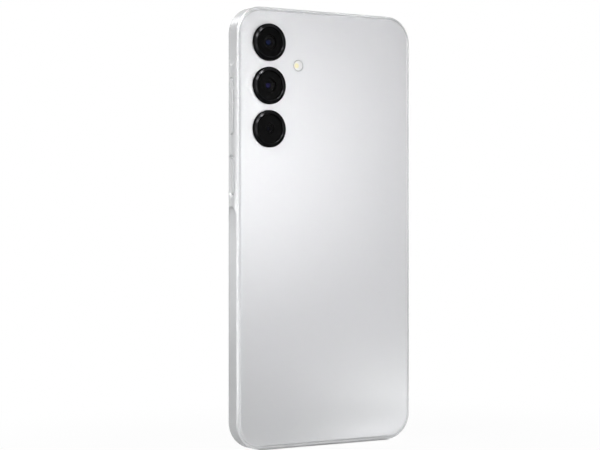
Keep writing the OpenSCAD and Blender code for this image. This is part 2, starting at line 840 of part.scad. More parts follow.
module sim_socket() {
    color("lightgray") {
        difference() {
            block(socket_x0, socket_x1, board_rear_y, socket_rear_y, socket_low_z, socket_high_z);
            block(socket_x0 - overlap, socket_x1 - socket_wall, board_rear_y + socket_wall,
                socket_rear_y - socket_wall, socket_low_z + socket_wall, socket_high_z - socket_wall);
        }
        block(socket_x0, -tray_end_x - 1, board_rear_y + socket_wall, socket_rear_y - socket_wall,
            tray_low_z - 0.8, tray_low_z - 0.4);
        rod_y(-lever_x, lever_z, lever_pin_r, board_rear_y + socket_wall, socket_rear_y - socket_wall);
    }
}

module card_pocket(x, l, h) {
    ledge = 0.6;
    z = (tray_low_z + tray_top_z) / 2;
    block(-x, -x + l, side_y - 0.2, side_y + tray_t, z - h / 2, z + h / 2);
    block(-x + ledge, -x + l - ledge, side_y - tray_t, side_y + tray_t, z - h / 2 + ledge, z + h / 2 - ledge);
}

module sim_tray() {
    color("silver") difference() {
        union() {
            mirror([1, 0, 0]) translate([0, side_y, tray_z])
                slice_x(door_x, half_w) stadium(door_w, door_l);
            block(-door_x, -tray_end_x, side_y - tray_t / 2, side_y + tray_t / 2, tray_low_z, tray_top_z);
        }
        card_pocket(door_x - 0.8, 8.9, 12.4);
        card_pocket(door_x - 10.9, 15.1, 11.2);
        translate([-half_w - overlap, side_y, eject_z]) rotate([0, 90, 0])
            cylinder(d = eject_d, h = door_t + 2 * overlap);
    }
}

module tray_seal() {
    color("dimgray") mirror([1, 0, 0]) difference() {
        translate([0, side_y, tray_z])
            slice_x(door_x - 0.6, door_x) stadium(door_w - 0.8, door_l - 0.8);
        block(door_x - overlap, door_x + overlap, side_y - tray_t / 2, side_y + tray_t / 2,
            tray_low_z, tray_top_z);
        translate([door_x - overlap, side_y, eject_z]) rotate([0, 90, 0])
            cylinder(d = eject_d, h = 2 * overlap);
    }
}

module eject_rod() {
    color("silver") block(-inner_x + 0.1, -lever_x - lever_w / 2 - 0.1, side_y - rod_s / 2, side_y + rod_s / 2,
        eject_z - rod_s / 2, eject_z + rod_s / 2);
}

module eject_lever() {
    color("silver") plate(side_y - lever_t / 2, side_y + lever_t / 2) translate([-lever_x, 0]) difference() {
        union() {
            translate([-lever_w / 2, eject_z - rod_s / 2]) square([lever_w, lever_z + 5 - eject_z + rod_s / 2]);
            translate([0, lever_z]) circle(1.05);
        }
        translate([0, lever_z]) circle(lever_pin_r + 0.04);
    }
}

// Brackets and fasteners

module bracket_shape(places) {
    difference() {
        union() {
            children();
            screw_holes(places, screw_boss_r, board_rear_y, bracket_front_y);
        }
        screw_holes(places, screw_r + 0.15, board_rear_y - overlap, bracket_rear_y + overlap);
        screw_holes(places, screw_head_r + 0.15, screw_seat_y, bracket_rear_y + overlap);
    }
}

module top_bracket() {
    color("black") difference() {
        bracket_shape(top_screws)
            block(board_left_x, board_right_x, bracket_front_y, bracket_rear_y, board_low_z, board_high_z);
        rod_y(flash_x, flash_z, flash_d / 2 + 0.6, bracket_front_y - overlap, bracket_rear_y + overlap);
    }
}

module bottom_bracket() {
    color("black") bracket_shape(low_screws)
        plate(bracket_front_y, bracket_rear_y) intersection() {
            inner_outline(0.4);
            translate([-body_w / 2, sub_low_z]) square([body_w / 2 + 7.8, sub_high_z - sub_low_z]);
        }
}

module bracket_screws() {
    color("silver")
        for (p = all_screws)
            difference() {
                union() {
                    rod_y(p[0], p[1], screw_head_r, screw_seat_y, screw_seat_y + screw_head_h);
                    rod_y(p[0], p[1], screw_r, screw_end_y, screw_seat_y);
                }
                for (turn = [0, 90])
                    translate([p[0], screw_seat_y + screw_head_h, p[1]]) rotate([0, turn, 0])
                        cube([1.5, 0.4, 0.3], center = true);
            }
}

module nfc_antenna() {
    loops = 4;
    track = 0.6;
    color("peru") plate(bracket_rear_y, bracket_rear_y + 0.1) translate([-10, 133])
        for (i = [0 : loops - 1])
            difference() {
                rounded_rect(36 - 2.4 * i, 21 - 2.4 * i, 4 - 0.8 * i);
                rounded_rect(36 - 2.4 * i - 2 * track, 21 - 2.4 * i - 2 * track, 4 - 0.8 * i - track);
            }
}

// Keys and their switches

module key_body(z, l, face_x, bevel_run, bevel_rise) {
    translate([0, side_y, z]) {
        slice_x(flange_x, flange_x + flange_t)
            square([2 * flange_half_y, l + 2 * flange_lip_z], center = true);
        slice_x(flange_x + flange_t, face_x - bevel_rise) stadium(key_w, l);
        translate([face_x - bevel_rise, 0, 0]) bevelled_stadium(key_w, l, bevel_run, bevel_rise);
    }
}

module key_nub(z) {
    translate([flange_x - nub_l, side_y, z]) rotate([0, 90, 0]) cylinder(r = nub_r, h = nub_l);
}

module volume_key() {
    color("silver") {
        key_body(volume_z, volume_l, island_crest_x + volume_proud, 0.5, 0.2);
        rod_y(flange_x, volume_z, pivot_r, side_y - flange_half_y, side_y + flange_half_y);
        for (end = [-1, 1])
            key_nub(volume_z + end * volume_dome_z);
    }
}

module fingerprint_outline(grow) {
    stadium(key_w - 1.2 + grow, power_l - 1.2 + grow);
}

module power_key() {
    face_x = island_crest_x - power_sunk;
    color("silver") {
        difference() {
            key_body(power_z, power_l, face_x, 0.5, 0.15);
            translate([0, side_y, power_z]) slice_x(face_x - 0.5, face_x + overlap) fingerprint_outline(0);
        }
        key_nub(power_z);
    }
}

module fingerprint_sensor() {
    face_x = island_crest_x - power_sunk;
    color("gray") translate([0, side_y, power_z]) slice_x(face_x - 0.5, face_x - 0.02) fingerprint_outline(-0.06);
}

module key_bracket() {
    low_z = 92;
    high_z = 139.5;
    color("lightgray") {
        block(bracket_x, key_flex_x, plate_rear_y, 2, low_z, high_z);
        block(bracket_x - 1.2, bracket_x, plate_rear_y, plate_rear_y + 0.4, low_z, high_z);
        block(key_flex_x, flange_x - pivot_r - pivot_gap, side_y - 0.9, side_y + 0.9, volume_z - 0.6,
            volume_z + 0.6);
    }
}

module side_key_flex() {
    strip_z = 142.6;
    color("darkgoldenrod") {
        difference() {
            block(key_flex_x, key_flex_x + flex_t, side_y - 1.2, side_y + 1.2, 93, strip_z + 1.2);
            block(key_flex_x - overlap, key_flex_x + overlap, side_y - 1, side_y + 1, volume_z - 0.7,
                volume_z + 0.7);
        }
        flex_with_plug(board_right_x - 4.4, key_flex_x, strip_z, 2.4);
    }
}

module dome_switch(z) {
    foot_x = key_flex_x + flex_t;
    block(foot_x, foot_x + 0.3, side_y - 1.1, side_y + 1.1, z - 1.3, z + 1.3);
    translate([foot_x + 0.3, side_y, z]) rotate([0, 90, 0]) cylinder(r1 = 1, r2 = 0.5, h = dome_h - 0.3);
}

module volume_domes() {
    color("gainsboro")
        for (end = [-1, 1])
            dome_switch(volume_z + end * volume_dome_z);
}

module power_dome() { color("gainsboro") dome_switch(power_z); }

side_frame();
mid_plate();
cover_glass();
display_panel();
display_adhesive();
back_cover();
back_adhesive();
camera_ring_top();
camera_ring_middle();
camera_ring_bottom();
camera_glass_top();
camera_glass_middle();
camera_glass_bottom();
ultrawide_camera();
ultrawide_lens();
main_camera();
main_lens();
macro_camera();
macro_lens();
camera_flexes();
flash_window();
flash_led();
main_board();
board_chips();
board_shields();
sub_board();
usb_tube();
usb_tongue();
usb_contacts();
battery();
battery_flex();
speaker_box();
speaker_lid();
speaker_magnet();
speaker_diaphragm();
dust_meshes();
earpiece();
front_camera();
microphones();
vibration_can();
vibration_rotor();
sim_socket();
sim_tray();
tray_seal();
eject_rod();
eject_lever();
top_bracket();
bottom_bracket();
bracket_screws();
interconnect_flex();
coax_lead();
display_flex();
key_bracket();
side_key_flex();
volume_domes();
power_dome();
nfc_antenna();
volume_key();
power_key();
fingerprint_sensor();
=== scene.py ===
"""Fine shapes, finishes and studio of a slab smartphone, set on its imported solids."""

import json
import logging
import math
from dataclasses import dataclass, field
from enum import Enum
from typing import Callable, NamedTuple, Optional, Sequence, Union

import bmesh
import bpy
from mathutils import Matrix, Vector

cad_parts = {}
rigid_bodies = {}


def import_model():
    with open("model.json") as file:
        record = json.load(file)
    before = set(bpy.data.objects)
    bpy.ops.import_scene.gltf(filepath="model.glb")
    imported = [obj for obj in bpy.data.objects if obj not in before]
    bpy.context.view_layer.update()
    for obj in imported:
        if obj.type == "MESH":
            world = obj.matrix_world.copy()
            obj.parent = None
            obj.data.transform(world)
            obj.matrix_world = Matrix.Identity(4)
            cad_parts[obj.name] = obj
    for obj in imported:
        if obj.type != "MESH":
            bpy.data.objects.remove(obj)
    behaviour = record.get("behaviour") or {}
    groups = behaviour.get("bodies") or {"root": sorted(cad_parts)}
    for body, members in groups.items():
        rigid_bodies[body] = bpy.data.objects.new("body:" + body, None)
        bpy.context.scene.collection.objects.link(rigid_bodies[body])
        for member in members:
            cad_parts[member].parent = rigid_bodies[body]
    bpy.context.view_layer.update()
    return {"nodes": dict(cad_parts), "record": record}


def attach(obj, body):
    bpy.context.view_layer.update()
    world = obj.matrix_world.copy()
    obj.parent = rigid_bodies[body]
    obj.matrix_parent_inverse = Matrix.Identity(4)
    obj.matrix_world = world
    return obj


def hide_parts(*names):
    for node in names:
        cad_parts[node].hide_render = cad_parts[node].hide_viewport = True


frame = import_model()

LOG = logging.getLogger("smartphone")
MM = 0.001
SIDE_Y = 0.48
MID_Z = 82.2
COVER_Y = 3.95
CAMERA_X = 25.47
CAMERA_TOP = 151.25
CAMERA_PITCH = 16.08
CAMERA_Z = tuple(CAMERA_TOP - CAMERA_PITCH * i for i in range(3))
FLASH_AT = (12.65, 143.21)
VOLUME_Z = 127.1
POWER_Z = 101.5
SPEAKER_X = 18.75
SMOOTH_ANGLE = math.radians(28)
EASED_ANGLE = math.radians(40)
FLAT_ANGLE = math.radians(0.5)
HAIR = 0.001

Piece = bpy.types.Object
Point = tuple[float, float, float]
Pair = tuple[float, float]
Color = tuple[float, float, float]
Value = Union["Sock", float, Sequence[float]]


class Sock:
    """One output of a shader node, which takes part in plain arithmetic."""

    def __init__(self, tree: "ShaderTree", socket: bpy.types.NodeSocket) -> None:
        """Keeps the output and the tree that its Math nodes go into."""
        self.tree = tree
        self.socket = socket

    def math(self, operation: str, *values: Value) -> "Sock":
        """Adds a Math node.

        Args:
            operation: The node's operation.
            values: Its inputs, in order.

        Returns:
            The node's result.
        """
        return self.tree.add("ShaderNodeMath", {"operation": operation}, dict(enumerate(values)))

    def out(self, name: str) -> "Sock":
        """Gives another output of the same node."""
        return Sock(self.tree, self.socket.node.outputs[name])

    def __add__(self, other: Value) -> "Sock":
        """Adds a value."""
        return self.math("ADD", self, other)

    def __radd__(self, other: Value) -> "Sock":
        """Adds to a value."""
        return self.math("ADD", other, self)

    def __sub__(self, other: Value) -> "Sock":
        """Takes a value away."""
        return self.math("SUBTRACT", self, other)

    def __rsub__(self, other: Value) -> "Sock":
        """Takes this away from a value."""
        return self.math("SUBTRACT", other, self)

    def __mul__(self, other: Value) -> "Sock":
        """Multiplies by a value."""
        return self.math("MULTIPLY", self, other)

    def __rmul__(self, other: Value) -> "Sock":
        """Multiplies a value by this."""
        return self.math("MULTIPLY", other, self)

    def __pow__(self, other: Value) -> "Sock":
        """Raises to a power."""
        return self.math("POWER", self, other)

    def __rpow__(self, other: Value) -> "Sock":
        """Raises a value to this power."""
        return self.math("POWER", other, self)

    def __abs__(self) -> "Sock":
        """Drops the sign."""
        return self.math("ABSOLUTE", self)

    def least(self, other: Value) -> "Sock":
        """Gives the smaller of two values."""
        return self.math("MINIMUM", self, other)

    def most(self, other: Value) -> "Sock":
        """Gives the larger of two values."""
        return self.math("MAXIMUM", self, other)

    def hypot(self, other: "Sock") -> "Sock":
        """Gives the length of a line that goes this far one way and that far across."""
        return (self ** 2 + other ** 2) ** 0.5

    def fold(self, pitch: float) -> "Sock":
        """Gives the distance from the nearest multiple of a pitch."""
        return self.math("PINGPONG", self, pitch / 2)

    def step(self, low: float, high: float) -> "Sock":
        """Makes a smooth rise.

        Args:
            low: The value at which it is 0.
            high: The value at which it is 1.

        Returns:
            The rise, from 0 to 1.
        """
        return self.tree.add(
            "ShaderNodeMapRange",
            {"interpolation_type": "SMOOTHSTEP"},
            {"Value": self, "From Min": low, "From Max": high},
        )


class ShaderTree:
    """Builds the nodes of one material or of the world."""

    def __init__(self, owner: Union[bpy.types.Material, bpy.types.World]) -> None:
        """Empties a node tree.

        Args:
            owner: The material or the world that has it.
        """
        owner.use_nodes = True
        self.owner = owner
        self.nodes = owner.node_tree.nodes
        self.links = owner.node_tree.links
        self.nodes.clear()

    def add(
        self, kind: str, settings: Optional[dict] = None, sockets: Optional[dict] = None
    ) -> Sock:
        """Adds a node.

        Args:
            kind: The node's type.
            settings: The node's own settings, which are set first.
            sockets: Values or links of its inputs, by name or index.

        Returns:
            The node's first output.
        """
        node = self.nodes.new(kind)
        for name, value in (settings or {}).items():
            setattr(node, name, value)
        for name, value in (sockets or {}).items():
            target = node.inputs[name]
            if isinstance(value, Sock):
                self.links.new(value.socket, target)
            elif target.type == "RGBA":
                target.default_value = (*value[:3], 1.0)
            else:
                target.default_value = value
        return Sock(self, node.outputs[0]) if node.outputs else Sock(self, None)

    def place(self) -> Sock:
        """Gives the object coordinates in millimetres, as a vector."""
        return self.scaled(self.add("ShaderNodeTexCoord").out("Object"), 1 / MM)

    def axes(self) -> tuple[Sock, Sock, Sock]:
        """Gives x, y and z in millimetres."""
        split = self.add("ShaderNodeSeparateXYZ", sockets={"Vector": self.place()})
        return split.out("X"), split.out("Y"), split.out("Z")

    def stretched(self, factors: Point) -> Sock:
        """Stretches the object coordinates.

        Args:
            factors: What each axis is multiplied by.

        Returns:
            The stretched place in millimetres.
        """
        return self.add(
            "ShaderNodeVectorMath", {"operation": "MULTIPLY"}, {0: self.place(), 1: factors}
        )

    def noise(self, place: Sock, scale: float, detail: float = 2.0) -> Sock:
        """Adds a noise texture.

        Args:
            place: Where it is read.
            scale: Its waves for each millimetre.
            detail: How many finer layers it has.

        Returns:
            A value about 0.5.
        """
        return self.add(
            "ShaderNodeTexNoise", {}, {"Vector": place, "Scale": scale, "Detail": detail}
        )

    def scaled(self, vector: Value, factor: Value) -> Sock:
        """Multiplies a colour or a vector.

        Args:
            vector: The colour or the vector.
            factor: What it is multiplied by.

        Returns:
            The product.
        """
        return self.add(
            "ShaderNodeVectorMath", {"operation": "SCALE"}, {"Vector": vector, "Scale": factor}
        )

    def mix(self, factor: Sock, low: Value, high: Value) -> Sock:
        """Blends two colours.

        Args:
            factor: 0 for the first, 1 for the second.
            low: The first colour.
            high: The second colour.

        Returns:
            The blended colour.
        """
        node = self.add("ShaderNodeMix", {"data_type": "RGBA"}, {0: factor, 6: low, 7: high})
        return Sock(self, node.socket.node.outputs[2])

    def bump(self, height: Sock, distance: float) -> Sock:
        """Turns a height from 0 to 1 into a normal, at a depth in millimetres."""
        return self.add("ShaderNodeBump", {}, {"Height": height, "Distance": distance * MM})

    def principled(self, sockets: dict) -> Sock:
        """Adds the main surface shader with the given sockets."""
        return self.add("ShaderNodeBsdfPrincipled", {}, sockets)

    def mix_shader(self, factor: Sock, low: Sock, high: Sock) -> Sock:
        """Blends two shaders by a factor."""
        return self.add("ShaderNodeMixShader", {}, {0: factor, 1: low, 2: high})

    def sight(self) -> tuple[Sock, Sock]:
        """Tells the rays of sight from others.

        Returns:
            1 for direct sight, and 1 for sight by reflection or through glass.
        """
        path = self.add("ShaderNodeLightPath")
        mirrored = path.out("Is Glossy Ray").most(path.out("Is Transmission Ray"))
        return path.out("Is Camera Ray"), mirrored

    def finish(self, surface: Sock, kind: str = "ShaderNodeOutputMaterial") -> None:
        """Links a shader to the output."""
        self.add(kind, {}, {"Surface": surface})


@dataclass(frozen=True)
class Finish:
    """A named surface finish."""

    name: str

    def shade(self, tree: ShaderTree) -> Sock:
        """Builds the finish's nodes.

        Args:
            tree: The tree that they go into.

        Returns:
            The shader at their end.
        """
        raise NotImplementedError

    def build(self) -> bpy.types.Material:
        """Makes the material.

        Returns:
            The material, with its nodes.
        """
        material = bpy.data.materials.new(self.name)
        tree = ShaderTree(material)
        tree.finish(self.shade(tree))
        return material


@dataclass(frozen=True)
class SatinSilver(Finish):
    """Pale satin lacquer with fine metal flake."""

    color: Color = (0.80, 0.805, 0.815)
    metallic: float = 0.3
    roughness: float = 0.38
    coat: float = 0.0

    def shade(self, tree: ShaderTree) -> Sock:
        """Flake shifts the colour and the gloss a little, over a faint orange peel.

        Args:
            tree: The tree that the nodes go into.

        Returns:
            The shader at their end.
        """
        place = tree.place()
        flake = tree.noise(place, 7.0, 3.0)
        drift = tree.noise(place, 0.04)
        peel = tree.noise(place, 0.8, 1.0)
        return tree.principled({
            "Base Color": tree.scaled(self.color, 0.985 + flake * 0.02 + drift * 0.01),
            "Metallic": self.metallic,
            "Roughness": self.roughness - 0.01 + flake * 0.02,
            "Coat Weight": self.coat,
            "Coat Roughness": 0.12,
            "Normal": tree.bump(peel, 0.0005),
        })


@dataclass(frozen=True)
class GlossBlack(Finish):
    """Deep black polish of the camera rings."""

    color: Color = (0.009, 0.009, 0.0095)
    roughness: float = 0.15

    def shade(self, tree: ShaderTree) -> Sock:
        """Faint haze from handling keeps the polish from being perfect.

        Args:
            tree: The tree that the nodes go into.

        Returns:
            The shader at their end.
        """
        haze = tree.noise(tree.place(), 0.5, 4.0)
        return tree.principled({
            "Base Color": tree.scaled(self.color, 0.9 + haze * 0.2),
            "Metallic": 1.0,
            "Specular Tint": (0.25, 0.25, 0.26),
            "Roughness": self.roughness - 0.02 + haze * 0.05,
        })


@dataclass(frozen=True)
class LensWindow(Finish):
    """Coated glass with black print round a clear middle."""

    x: float = 0.0
    z: float = 0.0
    radius: float = 2.6
    veil: float = 0.06

    def shade(self, tree: ShaderTree) -> Sock:
        """The print starts at the window's radius, in front and behind.

        Args:
            tree: The tree that the nodes go into.

        Returns:
            The shader at their end.
        """
        x, _, z = tree.axes()
        reach = (x - self.x).hypot(z - self.z)
        haze = tree.noise(tree.place(), 0.6, 4.0)
        print_edge = reach.step(self.radius, self.radius + 0.06)
        return tree.principled({
            "Base Color": tree.scaled((0.0075, 0.0075, 0.0077), 0.8 + haze * 0.4),
            "Roughness": 0.05 + haze * 0.05,
            "IOR": 1.04,
            "Alpha": self.veil + print_edge * (1 - self.veil),
        })


@dataclass(frozen=True)
class LensCoat(Finish):
    """Dark curved glass with a coloured coating."""

    tint: Color = (0.10, 0.16, 0.60)
    depth: Color = (0.003, 0.003, 0.005)
    ior: float = 1.5

    def shade(self, tree: ShaderTree) -> Sock:
        """The coating's colour is in its reflections, over a nearly black depth.

        Args:
            tree: The tree that the nodes go into.

        Returns:
            The shader at their end.
        """
        haze = tree.noise(tree.place(), 1.5)
        return tree.principled({
            "Base Color": tree.scaled(self.depth, 0.8 + haze * 0.4),
            "Roughness": 0.02 + haze * 0.02,
            "IOR": self.ior,
            "Specular Tint": self.tint,
        })


@dataclass(frozen=True)
class FrostedResin(Finish):
    """Milky flash resin, through which the yellow chip shows as a soft spot."""

    color: Color = (0.96, 0.96, 0.95)
    # Colour of a painted shade along the window's edge.
    edge: Color = (0.55, 0.55, 0.54)
    chip: Color = (0.96, 0.90, 0.56)
    center: Pair = FLASH_AT
    radius: float = 2.1
    spot: Pair = (13.4, 143.15)
    spot_r: float = 0.9
    veil: float = 0.9

    def shade(self, tree: ShaderTree) -> Sock:
        """The spot and a painted shade along the window's edge lie under fine frosting.

        Args:
            tree: The tree that the nodes go into.

        Returns:
            The shader at their end.
        """
        x, _, z = tree.axes()
        frost = tree.noise(tree.place(), 5.0, 3.0)
        reach = (x - self.center[0]).hypot(z - self.center[1])
        aside = (x - self.spot[0]).hypot(z - self.spot[1])
        milk = tree.mix(aside.step(self.spot_r + 0.35, self.spot_r - 0.35), self.color, self.chip)
        # Painted shade: the resin darkens towards the window's edge.
        rim = reach.step(self.radius - 0.35, self.radius - 0.1)
        return tree.principled({
            "Base Color": tree.mix(rim, milk, self.edge),
            "Metallic": 0.3,
            "Alpha": self.veil,
            "Roughness": 0.28 + frost * 0.1,
        })


@dataclass(frozen=True)
class Phosphor(Finish):
    """Granular yellow layer on a light-emitting chip."""

    color: Color = (0.95, 0.91, 0.60)

    def shade(self, tree: ShaderTree) -> Sock:
        """Grains lighten and darken the layer.

        Args:
            tree: The tree that the nodes go into.

        Returns:
            The shader at their end.
        """
        grain = tree.noise(tree.place(), 14.0, 3.0)
        return tree.principled({
            "Base Color": tree.scaled(self.color, 0.85 + grain * 0.3),
            "Roughness": 0.6 + grain * 0.2,
            "Normal": tree.bump(grain, 0.01),
        })


@dataclass(frozen=True)
class Moulded(Finish):
    """Moulded plastic or rubber with a fine grain."""

    color: Color = (0.03, 0.03, 0.03)
    roughness: float = 0.55
    grain: float = 4.0
    depth: float = 0.01
    sheen: float = 0.5

    def shade(self, tree: ShaderTree) -> Sock:
        """Grain moves the gloss and the surface, and cloudiness the colour.

        Args:
            tree: The tree that the nodes go into.

        Returns:
            The shader at their end.
        """
        place = tree.place()
        grain = tree.noise(place, self.grain, 3.0)
        cloud = tree.noise(place, 0.15)
        return tree.principled({
            "Base Color": tree.scaled(self.color, 0.85 + grain * 0.2 + cloud * 0.1),
            "Roughness": self.roughness - 0.08 + grain * 0.16,
            "Specular IOR Level": self.sheen,
            "Normal": tree.bump(grain, self.depth),
        })


@dataclass(frozen=True)
class BrushedMetal(Finish):
    """Metal with fine lines along one direction."""

    color: Color = (0.60, 0.60, 0.60)
    roughness: float = 0.32
    lines: Point = (0.15, 6.0, 6.0)

    def shade(self, tree: ShaderTree) -> Sock:
        """Lines come from noise that is stretched along the brushing.

        Args:
            tree: The tree that the nodes go into.

        Returns:
            The shader at their end.
        """
        lines = tree.noise(tree.stretched(self.lines), 1.0, 3.0)
        stain = tree.noise(tree.place(), 0.2)
        return tree.principled({
            "Base Color": tree.scaled(self.color, 0.88 + lines * 0.16 + stain * 0.08),
            "Metallic": 1.0,
            "Roughness": self.roughness - 0.06 + lines * 0.12,
            "Normal": tree.bump(lines, 0.002),
        })


@dataclass(frozen=True)
class FlexFilm(Finish):
    """Amber film with copper tracks under it."""

    film: Color = (0.30, 0.13, 0.035)
    track: Color = (0.46, 0.22, 0.08)
    pitch: float = 0.5

    def shade(self, tree: ShaderTree) -> Sock:
        """Tracks run along the strip, one for each pitch.

        Args:
            tree: The tree that the nodes go into.

        Returns:
            The shader at their end.
        """
        x, _, z = tree.axes()
        cloud = tree.noise(tree.place(), 0.5)
        across = ((x + z) * 0.7071).fold(self.pitch)
        track = across.step(self.pitch * 0.2, self.pitch * 0.3)
        return tree.principled({
            "Base Color": tree.mix(track, self.film, self.track),
            "Roughness": 0.3 + cloud * 0.15,
            "Normal": tree.bump(track, 0.008),
        })


@dataclass(frozen=True)
class SolderMask(Finish):
    """Green board with tracks and plated pads."""

    mask: Color = (0.012, 0.085, 0.035)
    track: Color = (0.03, 0.16, 0.07)
    pad: Color = (0.75, 0.62, 0.34)

    def shade(self, tree: ShaderTree) -> Sock:
        """Tracks follow a wandering grid, and pads sit in some of its cells.

        Args:
            tree: The tree that the nodes go into.

        Returns:
            The shader at their end.
        """
        place = tree.place()
        x, _, z = tree.axes()
        wander = tree.noise(place, 0.35)
        track = (x + wander * 3).fold(0.9).least((z + wander * 3).fold(1.1)).step(0.12, 0.06)
        spots = tree.add("ShaderNodeTexVoronoi", {}, {"Vector": place, "Scale": 0.7})
        pad = spots.step(0.2, 0.16)
        return tree.principled({
            "Base Color": tree.mix(pad, tree.mix(track, self.mask, self.track), self.pad),
            "Metallic": pad,
            "Roughness": 0.35 - pad * 0.1 + wander * 0.1,
            "Normal": tree.bump(track, 0.02),
        })


@dataclass(frozen=True)
class ScreenGlass(Finish):
    """Polished front glass with the border printed behind it, and the screen off."""

    border: Color = (0.0022, 0.0022, 0.0024)
    panel: Color = (0.0095, 0.0099, 0.0115)
    half_w: float = 35.5
    low_z: float = 6.4
    high_z: float = 160.9
    corner: float = 6.5
    eye_z: float = 157.4
    notch: float = 2.75
    window: float = 1.3

    def shade(self, tree: ShaderTree) -> Sock:
        """The lit area has round corners and a drop-shaped notch with a clear window.

        Args:
            tree: The tree that the nodes go into.

        Returns:
            The shader at their end.
        """
        x, _, z = tree.axes()
        mid_z = (self.low_z + self.high_z) / 2
        half_h = (self.high_z - self.low_z) / 2
        over_x = (abs(x) - (self.half_w - self.corner)).most(0.0)
        over_z = (abs(z - mid_z) - (half_h - self.corner)).most(0.0)
        outside = over_x.hypot(over_z) - self.corner
        drop = x.hypot((z - self.eye_z).least(0.0))
        active = outside.step(0.05, -0.05) * drop.step(self.notch - 0.05, self.notch + 0.05)
        smear = tree.noise(tree.stretched((0.08, 0.08, 0.05)), 1.0, 4.0)
        ink = tree.principled({
            "Base Color": tree.mix(active, self.border, self.panel),
            "Roughness": 0.03 + smear * 0.03,
            "IOR": 1.45,
        })
        clear = tree.principled({
            "Base Color": (0.95, 0.96, 0.97),
            "Transmission Weight": 1.0,
            "Roughness": 0.0,
            "IOR": 1.2,
        })
        reach = x.hypot(z - self.eye_z)
        return tree.mix_shader(reach.step(self.window, self.window + 0.05), clear, ink)


@dataclass(frozen=True)
class FloorWhite(Finish):
    """Pale studio floor that meets a white background."""

    color: Color = (0.72, 0.72, 0.72)
    glow: float = 0.97
    # The next two give the floor's whiteness in reflections: far off, and in a painted pool of
    # light close to the phone.
    mirror: float = 0.2
    pool_mirror: float = 1.0
    # Whiteness at the phone's foot: a painted contact shade.
    contact: float = 0.15
    foot: Pair = (28.7, 3.6)
    fade: float = 1.0
    far: Pair = (30.0, 160.0)
    close: Pair = (20.0, 9.0)
    key_side: Pair = (27.0, 34.0)
    rear_side: Pair = (-1.0, 1.0)

    def shade(self, tree: ShaderTree) -> Sock:
        """Seen directly or in a reflection the floor is white, with a painted contact shade at
        the phone's foot; reflections see a painted pool of light near the phone and beside its
        key side, on its rear side, and only faintly white floor further off.

        Args:
            tree: The tree that the nodes go into.

        Returns:
            The shader at their end.
        """
        direct, mirrored = tree.sight()
        x, y, _ = tree.axes()
        over_x = (abs(x) - self.foot[0]).most(0.0)
        over_y = (abs(y) - self.foot[1]).most(0.0)
        away = over_x.hypot(over_y)
        # Painted pool of light: reflections see the floor white near the phone and beside its key
        # side, on its rear side only.
        close = away.step(*self.close).most(x.step(*self.key_side)) * y.step(*self.rear_side)
        mirrored = mirrored * (self.mirror + close * (self.pool_mirror - self.mirror))
        # Painted contact shade: within fade of the foot the white drops to contact, so the lit
        # matt floor and its shadow show there.
        near = self.contact + away.step(0.0, self.fade) * (self.glow - self.contact)
        white = near + away.step(*self.far) * (1 - self.glow)
        seen = direct.most(mirrored) * white
        mottle = tree.noise(tree.place(), 0.02)
        matt = tree.principled({
            "Base Color": tree.scaled(self.color, 0.99 + mottle * 0.02),
            "Roughness": 0.9,
            "Specular IOR Level": 0.0,
        })
        glowing = tree.add("ShaderNodeEmission", {}, {"Color": (1, 1, 1), "Strength": 1.0})
        face = tree.mix_shader(seen, matt, glowing)
        below = tree.add("ShaderNodeNewGeometry").out("Backfacing")
        return tree.mix_shader(below, face, tree.add("ShaderNodeBsdfTransparent"))


FRAME_SILVER = SatinSilver("satin_silver_frame", (0.785, 0.793, 0.805), 0.30, 0.27, 0.15)
COVER_SILVER = SatinSilver("satin_silver_cover", (0.775, 0.783, 0.797), 0.32, 0.33)
KEY_SILVER = SatinSilver("satin_silver_keys", (0.81, 0.818, 0.83), 0.30, 0.27, 0.15)
SENSOR_SILVER = SatinSilver("satin_silver_sensor", (0.78, 0.785, 0.795), 0.30, 0.34, 0.10)
TRAY_SILVER = SatinSilver("satin_silver_tray", (0.785, 0.793, 0.805), 0.30, 0.27, 0.15)
RING_BLACK = GlossBlack("gloss_black_ring")
FRONT_GLASS = ScreenGlass("screen_glass")
BARREL_BLACK = Moulded("barrel_black", (0.020, 0.020, 0.0205), 0.75, 6.0, 0.001, 0.05)
WHITE_CUP = Moulded("white_reflector", (0.95, 0.95, 0.94), 0.35, 3.0, 0.003)
BLUE_COAT = LensCoat("lens_coat_blue")
DARK_COAT = LensCoat("lens_coat_dark", (0.25, 0.28, 0.5), ior=1.25)
VIOLET_COAT = LensCoat("lens_coat_violet", (0.20, 0.18, 0.85))
FLASH_RESIN = FrostedResin("flash_resin")
GOLD = BrushedMetal("gold_contacts", (0.83, 0.60, 0.26), 0.25, (6.0, 6.0, 0.2))
STEEL = BrushedMetal("plain_steel", (0.58, 0.58, 0.58), 0.30, (6.0, 6.0, 0.2))
MESH_BLACK = BrushedMetal("black_mesh_wire", (0.05, 0.05, 0.05), 0.4)

BLACK_PLASTIC = Moulded("matt_black_plastic", (0.025, 0.025, 0.026), 0.6, 4.0, 0.008)

